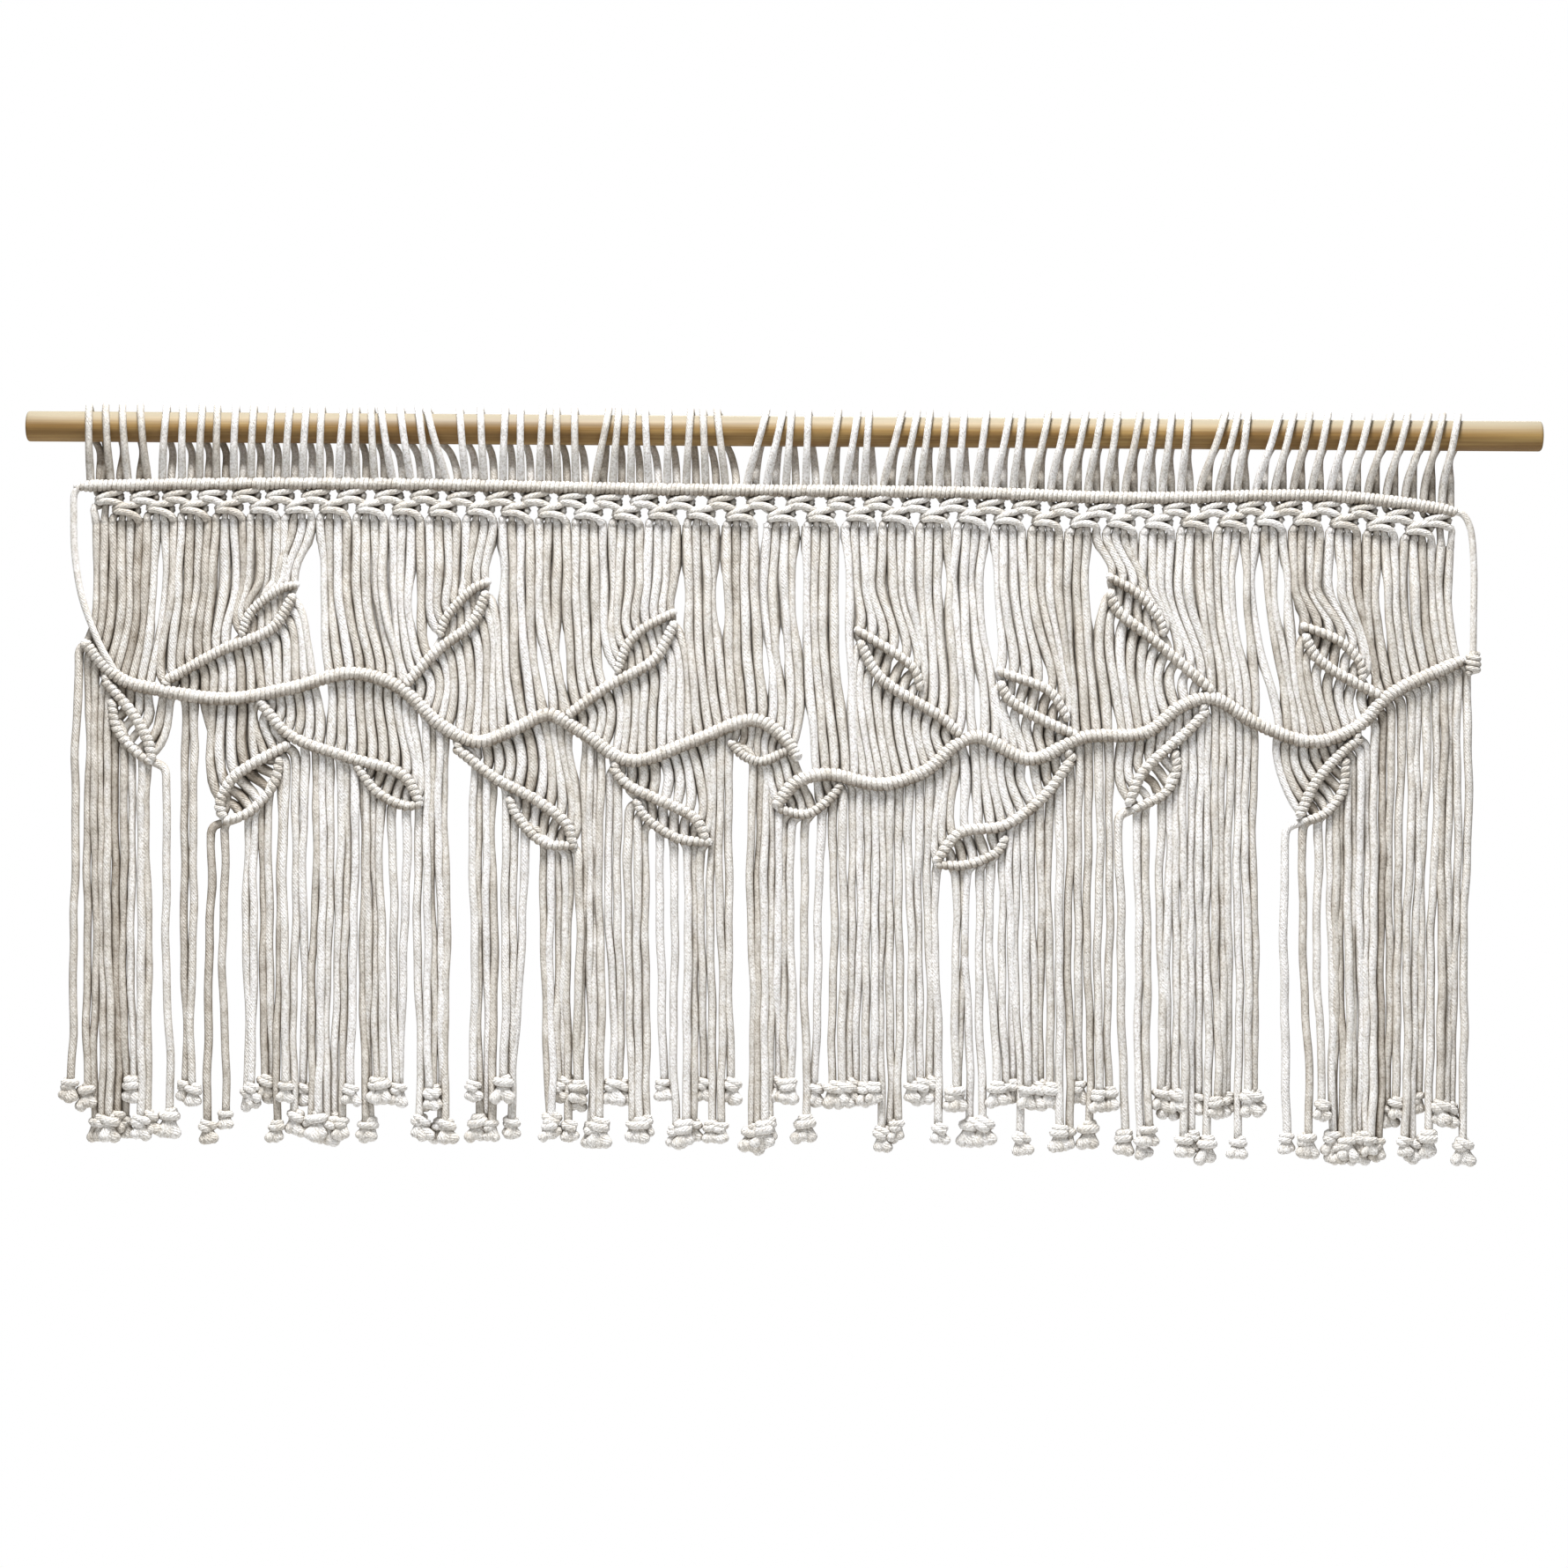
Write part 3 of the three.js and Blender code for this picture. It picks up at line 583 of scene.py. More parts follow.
knot_slip = handwork.normal(0, 1, (2, STRANDS // 4 + 1, 3)).clip(-1.8, 1.8) * (0.5, 0.4, 0.07)


# An end knot joins the nearest group and keeps this far in from the group's edges. Where both levels are
# equally near, strands take them by turns.
IN_GROUP = 4
EQUALLY_NEAR = 3
DRAWN_TO_GROUP = 0.8
END_DEPTHS = (-3.0, 0.6, 3.4, -0.6)


def settled_end(strand):
    """The height and x of a strand's end knot."""
    x, drift = in_bundle(strand)
    x += drift
    ways = {}
    for level, groups in END_GROUPS.items():
        nearest = min(groups, key=lambda group: max(group[0] - x, x - group[1], 0))
        left = nearest[0] + IN_GROUP
        ways[level] = float(np.clip(x, left, max(left, nearest[1] - IN_GROUP)))
    levels = sorted(ways, key=lambda level: abs(ways[level] - x))
    if abs(ways["upper"] - ways["lower"]) < EQUALLY_NEAR:
        levels = ["upper", "lower"] if strand % 2 == 0 else ["lower", "upper"]
    level = levels[0]
    height = float(np.interp(x, *END_HEIGHTS[level])) + end_slip[strand]
    return height, x + DRAWN_TO_GROUP * (ways[level] - x)


def end_place(strand):
    """Neighbouring end knots stand before and behind one another by turns."""
    height, x = settled_end(strand)
    return np.array([x, END_DEPTHS[strand % 4], height])


# The fineness of a strand's line, and its small waves where it hangs loose: their size and length, and which
# of the strand's draws starts them, for the sideways waves (axis 0) and for those in depth (axis 1).
LINE_STEP = 1.5
WAVES = {0: ((0.35, 9, 0), (0.65, 24, 1), (0.9, 47, 4)), 1: ((0.6, 17, 2), (0.9, 29, 3), (0.6, 6, 5))}

# A strand's curve reaches on from a stop by these shares of the way to the next one, at a bar no further
# than the most, which is more above the bar than below it.
REACH = {"bar": 0.42, "loose": 0.4, "bow": 0.13}
MOST_REACH = {"below bar": 15, "above bar": 18}


def bezier(a, b, handle_a, handle_b):
    """A curve from a to b, which sets out along one handle and comes in along the other."""
    length = np.linalg.norm(b - a)
    t = np.linspace(0, 1, max(4, round(length / LINE_STEP)))[:, None]
    p, q = a + handle_a, b - handle_b
    return (1 - t) ** 3 * a + 3 * (1 - t) ** 2 * t * p + 3 * (1 - t) * t ** 2 * q + t ** 3 * b


def in_one_leaf(upper, lower):
    """Whether two bars are both edges of one leaf. Two leaves have a vine for their upper edge."""
    vine_edged = (("vine_left", "leaf_left_9"), ("vine_right", "leaf_right_1"))
    return upper["piece"] == lower["piece"] or (upper["piece"], lower["piece"]) in vine_edged


def hang_height(strand):
    """Where a strand begins to hang straight, soon below its last bar."""
    lowest = crossings(strand)[-1][0]
    drop = min(SOONEST_DROP + 0.42 * abs(in_bundle(strand)[0] - lowest[0]), HANG_DROP)
    return max(lowest[2] - drop, HANG_HEIGHT)


def strand_line(strand):
    """One strand from the square knots to its end knot, and where along it the strand is inside a leaf. It
    leaves a bar square to it and soon hangs."""
    top_x = below_knots_x(strand)
    stagger = 1 if strand % 2 else -1
    x, _ = in_bundle(strand)
    stops = [(np.array([top_x, 0.0, top_bar_height(top_x) + BAND_FOOT]), DOWN, DOWN, False)]
    crossed = crossings(strand)
    if crossed[0][0][2] < PARTING_HEIGHT - HANG_DROP / 3:
        loosened = (below_knots_x(strand) + 2 * knot_spacing_x(strand)) / 3 + 1.1 * hang_slip[strand]
        parted = np.array([loosened + parting_shift(strand), strand_depth[strand], PARTING_HEIGHT])
        stops.append((parted, DOWN, DOWN, False))
    stops += [(point, unit(1.5 * out + DOWN), out, True) for point, out, _ in crossed]
    neighbours = [in_bundle(k)[0] for k in (strand - 1, strand + 1) if 0 <= k < STRANDS]
    room = min(abs(x - other) for other in neighbours)
    depth = stagger * float(np.clip(STRING_RADIUS - room / 2 + 0.8, 0.6, 2.3))
    hang = np.array([x + hang_slip[strand], depth, hang_height(strand)])
    # From its last bar a strand sets out to the side where it will hang. The further it has to go, the
    # more it bows.
    aside = hang[0] - crossed[-1][0][0]
    leaving = crossed[-1][1] + 0.5 * DOWN
    leaving[0] += 2.2 * math.tanh(aside / 7)
    bow = math.tanh(max(abs(aside) - 5, 0) / 4)
    leaving[2] *= 1 - 0.6 * bow
    stops[-1] = (stops[-1][0], stops[-1][1], unit(leaving), True)
    stops.append((hang, DOWN, DOWN, False))
    end = end_place(strand)
    stops.append((end + (0, 0, 5.0), unit((end - hang) * (1, 1.5, 1)), DOWN, False))
    pieces, held = [], []
    for k, ((a, _, leaving, at_bar), (b, arriving, _, to_bar)) in enumerate(zip(stops[:-1], stops[1:])):
        length = np.linalg.norm(b - a)
        rounder = REACH["bow"] * bow if k == len(stops) - 3 else 0
        reach_a = min((REACH["bar"] + rounder) * length, MOST_REACH["below bar"])
        reach_b = min(REACH["loose"] * length, MOST_REACH["above bar"])
        handle_a = leaving * (reach_a if at_bar else REACH["loose"] * length)
        handle_b = arriving * (reach_b if to_bar else (REACH["loose"] + rounder) * length)
        piece = bezier(a, b, handle_a, handle_b)[:-1]
        upper = k - (len(stops) - len(crossed) - 2)
        inside = at_bar and to_bar and in_one_leaf(crossed[upper][2], crossed[upper + 1][2])
        pieces.append(np.column_stack([piece, np.full(len(piece), float(inside))]))
        held += [a] if at_bar else []
    pieces.append(np.append(stops[-1][0], 0.0)[None])
    line = evenly(np.vstack(pieces), LINE_STEP)
    line, inside = line[:, :3], line[:, 3]
    grips = np.array([stops[0][0], *held, end])
    loose = rise(np.min(np.linalg.norm(line[:, None, :] - grips[None], axis=2), axis=1), 8, 38)
    along = steps_along(line)
    for axis, waves in WAVES.items():
        line[:, axis] += loose * sum(size * np.sin(along / reach + strand_waves[strand][draw])
                                     for size, reach, draw in waves)
    return line, inside


# ---------------------------------------------------------------------------------------------------------
# Knots.


def wind_bar(skein, line, wraps, outer, fullness, lean=1, ends=0.8):
    """Winds a bar: flat-pressed wraps side by side round the holding cord. lean, 1 or -1, is the way they
    slant. ends is how thick the bar is at its ends, as a share."""
    length = steps_along(line)[-1]
    pitch = length / wraps
    turns = np.arange(wraps * TURN_POINTS + 1) / TURN_POINTS
    slack = np.repeat(handwork.uniform(-1, 1, wraps + 1), TURN_POINTS)[: len(turns)]
    marks = turns * pitch
    centre = at_marks(marks, line, line)
    up = np.cross(FRONT, unit(at_marks(marks, line, travel(line))))
    angle = 2 * math.pi * turns + math.pi
    outward = np.cos(angle)[:, None] * FRONT + lean * np.sin(angle)[:, None] * up
    taper = ends + (1 - ends) * rise(np.minimum(marks, length - marks), 0, TAPER)
    reach = (outer - WRAP_DEPTH) * taper * (1 + 0.035 * slack)
    width = 0.5 * fullness * pitch
    # Painted shade: the underside of the bar is painted greyer, and the upper side stays pale.
    tone = 0.32 + 0.12 * slack - 1.2 * np.clip(0.2 - outward[:, 2], 0, 1)
    skein.lay(centre + outward * reach[:, None], width, tone=tone, outward=outward,
              flatness=WRAP_DEPTH / width, round_ends=False)
    skein.lay(evenly(line, 7), outer * ends - 0.8, sides=8, tone=0.7)


# A worker cord of a square knot, across, to the back and up from the knot's middle. Across is in knot units,
# at the start in strand spacings. The first makes both front bars. The second passes behind, and shows where
# it turns round the first.
FRONT_WORKER = [(1.5, 0, 7.4), (1.35, -1.8, 5.4), (0.8, -3.8, 4.2), (0, -4.5, 3.0), (-0.7, -4.0, 1.7),
                (-1.15, -2.7, 0.4), (-1.3, -1.2, -1.0), (-1.1, -2.8, -1.8), (-0.55, -4.4, -1.3),
                (0.1, -4.9, -1.6), (0.75, -4.3, -2.8), (1.2, -3.0, -4.4)]
BACK_WORKER = [(-1.5, 0, 7.4), (-1.3, 1.5, 4.6), (-0.7, 3.4, 2.6), (0, 3.6, 2.3), (0.75, 2.6, 2.2),
               (1.2, 0.2, 2.0), (1.4, -2.4, 0.6), (1.2, 0.2, -0.8), (0.7, 3.2, -1.6), (0, 4.0, -2),
               (-0.7, 3.4, -2.8), (-1.2, 1.4, -4.4)]
LEAVING = {"first": (1.62, -1.4, -5.2), "second": (1.4, -1.2, -6.8)}
PARTS_IN_KNOT = ("back worker", "filler", "filler", "front worker")
KNOT_UNIT = 6.7
ABOVE_KNOT = 7

# A stop of a strand may lie this much above the one before it, or is left out. How far below the top bar's
# line a strand is still gripped, and the turns of an end knot.
MOST_CLIMB = 1.3
GRIPPED_DROP = 23
END_TURNS = 1.6


def band_line(strand):
    """One strand through the two rows of square knots, and its thickness and shade along the way."""
    stops = [(knot_spacing_x(strand), 0, top_bar_height(knot_spacing_x(strand)) - 2)]
    for row, (level, offset) in enumerate((("first", 0), ("second", 2))):
        if not offset <= strand < STRANDS - offset:
            continue
        knot, part = divmod(strand - offset, 4)
        middle_strand = strand - part + 1.5
        middle = knot_spacing_x(middle_strand)
        spacing = knot_spacing_x(middle_strand + 0.5) - knot_spacing_x(middle_strand - 0.5)
        aside, higher, turn = knot_slip[row, knot]
        height = top_bar_height(middle) + KNOT_ROWS[level] + higher
        if PARTS_IN_KNOT[part] == "filler":
            side = -1 if part == 1 else 1
            route = [(side * 0.36, 0, 3), (side * 0.36, 0, -3)]
        else:
            side = 1 if part == 3 else -1
            route = FRONT_WORKER if part == 3 else BACK_WORKER
            across, back, up = LEAVING[level]
            route = [*route[row:], (side * across, back, up)]
        for across, back, up in route:
            across *= spacing if up > ABOVE_KNOT else KNOT_UNIT
            stops.append((middle + aside + across, back, height + up + across * turn))
    x = below_knots_x(strand)
    top = top_bar_height(x)
    foot = top + BAND_FOOT
    stops += [(x, 0, foot), (x, 0, foot - 2.5)]
    stops = [stop for k, stop in enumerate(stops) if k == 0 or stop[2] < stops[k - 1][2] + MOST_CLIMB]
    line = smooth_line(stops, 1.2)
    knotted = 2 <= strand < STRANDS - 2
    gripped = rise(line[:, 2] - top, -GRIPPED_DROP, 4 - GRIPPED_DROP) * knotted
    radius = STRING_RADIUS + (GRIPPED_RADIUS - STRING_RADIUS) * gripped * (line[:, 1] > -2)
    # Below the knots the string opens out, to meet the hanging strand that begins in it.
    radius *= 1 + 0.18 * np.clip((foot + 4 - line[:, 2]) / 4, 0, 1)
    radius[-1] *= 0.8
    # Painted shade: where the knots grip it, the string is painted greyer.
    own = strand_tone_and_shade[strand]
    return line, radius, own + (0.05 + 0.4 * own - own) * gripped


def end_knot(skein, strand):
    """An overhand knot pulled tight, and below it the frayed end spread in three tufts."""
    middle = end_place(strand)
    tone = 0.25 + 0.4 * strand_tone_and_shade[strand]
    size = handwork.uniform(1.05, 1.45)
    lean = math.radians(handwork.uniform(-24, 24))
    start = handwork.uniform(0, 2 * math.pi)
    # The knot is a turn and a half, wider and thicker towards its foot, and flat. Its ends lie inside.
    turns = np.linspace(0, END_TURNS, 24)
    share = turns / turns[-1]
    angle = start + 2 * math.pi * turns
    across = size * (3.0 + 0.9 * share)
    wound = np.stack([across * np.cos(angle), 0.62 * across * np.sin(angle), size * (5.6 - 4.4 * share)],
                     axis=1)
    wound[:, :2] *= np.clip(np.minimum(share, 1 - share) / 0.1, 0.2, 1)[:, None]
    cos, sin = math.cos(lean), math.sin(lean)
    tilt = np.array([[cos, 0, sin], [0, 1, 0], [-sin, 0, cos]])
    skein.lay(middle + wound @ tilt.T, size * (2.2 + 0.4 * share), tone=tone)
    for aside in (-1, 0, 1):
        reach = aside * handwork.uniform(2.2, 4.6) + 5 * sin
        tip = size * np.array([reach, handwork.uniform(-1.6, 1.0), -handwork.uniform(3.8, 6.2)])
        root, bend = middle + (0.3 * reach, 0, 1), middle + 0.55 * tip + (0, 0, 0.6)
        tuft = smooth_line([root, bend, middle + tip], 1.6)
        skein.lay(tuft, size * np.linspace(2.4, 3.3, len(tuft)), tone=tone + handwork.uniform(-0.25, 0.15))


def loop_line(loop):
    """A loop over the rod. Its front leg and its back leg go down to neighbouring places on the top bar. The
    front leg slants straight from the crown to the bar. The back leg takes its slant behind the rod."""
    x = LOOPS[loop]
    moved = EARLY_LANDINGS[loop] if loop < len(EARLY_LANDINGS) else 0
    landings = [knot_spacing_x(strand) + moved for strand in (2 * loop, 2 * loop + 1)]
    front_x, back_x = reversed(landings) if 1 <= loop <= 3 else landings
    slant = float(handwork.uniform(-0.6, 0.6))
    around = ROD_RADIUS + STRING_RADIUS
    stops = [(front_x, 0.2, top_bar_height(front_x) - 1), (x + 0.88 * (front_x - x), -3.4, LOW_LEG),
             (x + 0.56 * (front_x - x), -0.8 * around, HIGH_LEG)]
    for angle in range(-20, 201, 20):
        lift = math.radians(angle)
        aside = (slant + OUTWARD_LEAN * x) * (1 - math.cos(lift)) / 2
        if angle < 90:
            aside += 0.24 * (1 - math.sin(lift)) * (front_x - x)
        else:
            aside += 0.45 * math.cos(lift) ** 2 * (back_x - x)
        loose = 1.0 + LOOP_SLACK * max(0.0, math.sin(lift)) ** 2
        stops.append((x + aside, -around * loose * math.cos(lift), around * loose * math.sin(lift)))
    stops += [(x + 0.74 * (back_x - x), 0.78 * around, HIGH_LEG), (back_x, 2.6, LOW_LEG),
              (back_x, 1.2, top_bar_height(back_x) - 1)]
    return smooth_line(stops, 2.4)


# ---------------------------------------------------------------------------------------------------------
# Finishes.


def linear(colour):
    """A hex colour as linear numbers."""
    parts = [int(colour[k: k + 2], 16) / 255 for k in (1, 3, 5)]
    return (*((c / 12.92 if c <= 0.04045 else ((c + 0.055) / 1.055) ** 2.4) for c in parts), 1)


def node(tree, kind, settings=(), links=()):
    """Adds a node. settings and links go by socket name or number, or by property name where that isn't a
    socket. stops are the places and hex colours of a ramp."""
    added = tree.nodes.new("ShaderNode" + kind)
    for key, value in dict(settings).items():
        if key == "stops":
            elements = added.color_ramp.elements
            while len(elements) < len(value):
                elements.new(0.5)
            for element, (place, colour) in zip(elements, value):
                element.position, element.color = place, linear(colour)
        elif isinstance(key, str) and hasattr(added, key):
            setattr(added, key, value)
        else:
            added.inputs[key].default_value = value
    for key, output in dict(links).items():
        tree.links.new(output, added.inputs[key])
    return added


def new_finish(name):
    finish = bpy.data.materials.new(name)
    finish.use_nodes = True
    finish.node_tree.nodes.clear()
    return finish, finish.node_tree


def single_twist_cotton():
    """Single-strand cotton string, unbleached and softly twisted: matt, nearly white where light falls on
    it, with fine fibres that slant round the string and painted grey-brown shade deep between strings."""
    finish, tree = new_finish("single_twist_cotton")
    # Fibres slant once round the string every 24 mm. Nine bands of them show across it, a coarser count
    # than the real hairs so that they can be seen.
    place = node(tree, "UVMap", {"uv_map": "cord"})
    parts = node(tree, "SeparateXYZ", links={0: place.outputs[0]})
    lay = node(tree, "Math", {"operation": "MULTIPLY", 1: 1 / 0.024}, {0: parts.outputs["Y"]})
    slanted = node(tree, "Math", {"operation": "ADD"}, {0: parts.outputs["X"], 1: lay.outputs[0]})
    bands = node(tree, "Math", {"operation": "MULTIPLY", 1: 9 * 2 * math.pi}, {0: slanted.outputs[0]})
    wave = node(tree, "Math", {"operation": "SINE"}, {0: bands.outputs[0]})
    where = node(tree, "TexCoord")
    # Loose fibres and small slubs, some 1.5 mm apart.
    fuzz = node(tree, "TexNoise", {"Scale": 650.0, "Detail": 4.0, "Roughness": 0.65},
                {"Vector": where.outputs["Object"]})
    fibres = node(tree, "Math", {"operation": "MULTIPLY_ADD", 1: 0.16},
                  {0: wave.outputs[0], 2: fuzz.outputs["Fac"]})
    bump = node(tree, "Bump", {"Strength": 0.9, "Distance": 0.0011}, {"Height": fibres.outputs[0]})
    own = node(tree, "Attribute", {"attribute_name": "tone"})
    drift = node(tree, "TexNoise", {"Scale": 100.0, "Detail": 4.0, "Roughness": 0.65},
                 {"Vector": where.outputs["Object"]})
    both = node(tree, "Math", {"operation": "MULTIPLY_ADD", 1: 0.5},
                {0: own.outputs["Fac"], 2: drift.outputs["Fac"]})
    shade = node(tree, "ValToRGB", {"stops": [(0.0, "#A1978A"), (0.15, "#BFB7AC"), (0.45, "#E1DCD4"),
                                              (0.72, "#F3F1EE"), (1.0, "#FDFCFC")]}, {0: both.outputs[0]})
    specks = node(tree, "ValToRGB", {"stops": [(0.3, "#BDB6AC"), (0.56, "#FFFFFF")]},
                  {0: fuzz.outputs["Fac"]})
    specked = node(tree, "Mix", {"data_type": "RGBA", "blend_type": "MULTIPLY", 0: 0.85},
                   {6: shade.outputs[0], 7: specks.outputs[0]})
    # Painted shade: light hardly reaches the last few millimetres between neighbouring strings, so the colour
    # is darkened there.
    deep = node(tree, "AmbientOcclusion", {"samples": 6, "Distance": 0.008})
    painted_crease_shade = node(tree, "ValToRGB", {"stops": [(0.06, "#736B61"), (0.27, "#ADA69E"), (0.48, "#DAD6D0"),
                                               (0.74, "#FFFFFF")]}, {0: deep.outputs["AO"]})
    depth = node(tree, "Attribute", {"attribute_name": "shaded"})
    colour = node(tree, "Mix", {"data_type": "RGBA", "blend_type": "MULTIPLY"},
                  {0: depth.outputs["Fac"], 6: specked.outputs[2], 7: painted_crease_shade.outputs[0]})
    shader = node(tree, "BsdfPrincipled", {"Roughness": 0.92, "IOR": 1.46, "Specular IOR Level": 0.25},
                  {"Base Color": colour.outputs[2], "Normal": bump.outputs[0]})
    node(tree, "OutputMaterial", links={"Surface": shader.outputs[0]})
    return finish


def sanded_beech():
    """A beech dowel, turned and sanded but not varnished: honey brown with fine darker grain along the rod
    and a low, wide sheen."""
    finish, tree = new_finish("sanded_beech")
    where = node(tree, "TexCoord")
    # Grain lines run some 120 mm along the rod and lie about 1.5 mm apart.
    stretched = node(tree, "Mapping", {"Scale": (8.0, 650.0, 650.0)}, {"Vector": where.outputs["Object"]})
    grain = node(tree, "TexNoise", {"Scale": 1.0, "Detail": 4.0, "Roughness": 0.55},
                 {"Vector": stretched.outputs[0]})
    wide = node(tree, "Mapping", {"Scale": (5.0, 60.0, 60.0)}, {"Vector": where.outputs["Object"]})
    bands = node(tree, "TexNoise", {"Scale": 1.0, "Detail": 2.0}, {"Vector": wide.outputs[0]})
    both = node(tree, "Math", {"operation": "MULTIPLY_ADD", 1: 0.55},
                {0: grain.outputs["Fac"], 2: bands.outputs["Fac"]})
    colour = node(tree, "ValToRGB", {"stops": [(0.5, "#6C502B"), (0.75, "#86683D"), (1.0, "#A78A57")]},
                  {0: both.outputs[0]})
    # Painted light: the upper side is painted paler, as if lit from above.
    parts = node(tree, "SeparateXYZ", links={0: where.outputs["Object"]})
    upper = node(tree, "MapRange", {"From Min": 0.0, "From Max": 0.0085, "To Max": 0.85},
                 {"Value": parts.outputs["Z"]})
    painted_top_light = node(tree, "Mix", {"data_type": "RGBA", 7: linear("#A09987")},
                    {0: upper.outputs[0], 6: colour.outputs[0]})
    rough = node(tree, "MapRange", {"To Min": 0.55, "To Max": 0.45}, {"Value": grain.outputs["Fac"]})
    bump = node(tree, "Bump", {"Strength": 0.15, "Distance": 0.0002}, {"Height": grain.outputs["Fac"]})
    shader = node(tree, "BsdfPrincipled", {"IOR": 1.45, "Specular IOR Level": 0.25},
                  {"Base Color": painted_top_light.outputs[2], "Roughness": rough.outputs[0],
                   "Normal": bump.outputs[0]})
    node(tree, "OutputMaterial", links={"Surface": shader.outputs[0]})
    return finish


def white_floor():
    """Matt painted board, a little off white."""
    finish, tree = new_finish("white_floor")
    shader = node(tree, "BsdfPrincipled", {"Base Color": linear("#F2F1EF"), "Roughness": 0.9})
    node(tree, "OutputMaterial", links={"Surface": shader.outputs[0]})
    return finish


# ---------------------------------------------------------------------------------------------------------
# Making.

place_camera()
cotton = single_twist_cotton()


def make_side_cords():
    """The holding cord's free stretches down both sides."""
    for name, route in SIDE_CORDS.items():
        line = smooth_line(route, 2.0)
        skein = Skein()
        skein.lay(line, SIDE_CORD_RADIUS, sides=14, tone=0.3)
        cord = skein.made(f"{name}_string", name)


def make_rod():
    """The dowel, with softly rounded ends."""
    half, edge, sides = ROD_LENGTH / 2, 2.2, 64
    corner = [(half - edge + edge * math.sin(a), ROD_RADIUS - edge + edge * math.cos(a))
              for a in np.linspace(0, math.pi / 2, 7)]
    profile = [(-x, r) for x, r in reversed(corner)]
    profile += [(x, ROD_RADIUS) for x in np.linspace(-half + 20, half - 20, 28)] + corner
    path = np.array([(x, 0, 0) for x, _ in profile], float)
    skein = Skein()
    skein.lay(path, [r for _, r in profile], sides=sides, round_ends=False)
    return skein.made("wooden_rod", "rod", finish=sanded_beech(), slot="rod_wood")


def make_heading():
    """The loops over the rod. Over the crown they are pale. Their back legs, and both legs further down, are
    painted greyer, as painted shade."""
    skein = Skein()
    for loop in range(STRANDS // 2):
        line = loop_line(loop)
        below = rise(-line[:, 2], 0, 12)
        behind = np.arange(len(line)) > np.argmax(line[:, 2])
        outward = np.stack([0 * below, line[:, 1], line[:, 2]], axis=1)
        outward[line[:, 2] < 0] = FRONT
        outward[behind & (line[:, 2] < 0)] = -FRONT
        # Painted shade: the back legs and the lower legs are painted greyer, and their creases darker.
        tone = strand_tone_and_shade[2 * loop] + 0.1 - (0.1 + 0.45 * behind) * below
        fuller = 1 + 0.13 * np.clip(-line[:, 2] / 18 - 0.6, 0, 1)
        skein.lay(line, STRING_RADIUS * fuller, sides=10, tone=tone, shaded=0.1 + 0.6 * below,
                  side_shade=np.where(behind, PAINTED_SIDE_SHADE * below, PAINTED_SIDE_SHADE), outward=outward, round_ends=False)
    return skein.made("rod_loops", "loop_heading")


def make_top_bar():
    """The straight bar. Its holding cord sticks out at both ends and goes on as the side cords."""
    skein = Skein()
    hitched = (top_bar_line[:, 0] > HITCHED[0]) & (top_bar_line[:, 0] < HITCHED[1])
    wind_bar(skein, top_bar_line[hitched], 2 * STRANDS, BAR_OUTER["top"], BAR_FULLNESS["top"], ends=0.6)
    skein.lay(evenly(top_bar_line, 5), SIDE_CORD_RADIUS, sides=10, tone=0.5)
    return skein.made("top_bar_hitches", "top_bar")


def make_square_knots():
    """The strands' way through both rows of square knots."""
    skein = Skein()
    for strand in range(STRANDS):
        line, radius, tone = band_line(strand)
        kept = thinned(line, longest=5, turn=0.3)
        skein.lay(line[kept], radius[kept], tone=tone[kept], round_ends=False)
    return skein.made("square_knots", "square_knot_band")


def nearest_neighbour(line, other):
    """How far a line's points lie from another line, seen from the front."""
    apart = line[:, None, [0, 2]] - other[None, :, [0, 2]]
    return np.sqrt(np.min(np.sum(apart ** 2, axis=2), axis=1))


def softened(values):
    """Values along a line, evened out over nine points."""
    return np.convolve(np.pad(values, 4, "edge"), np.ones(9) / 9, "valid")


# Painted shade: the sides of a string are painted this much greyer than its front. A lone string is this
# much thicker, and the back of a pressed one this much wider than half the gap to its neighbour. The
# outermost strands' missing neighbours count as far off.
PAINTED_SIDE_SHADE = 0.7
THICKER_ALONE = 0.1
PRESSED_WIDTH = 1.45
FAR_OFF = 99.0


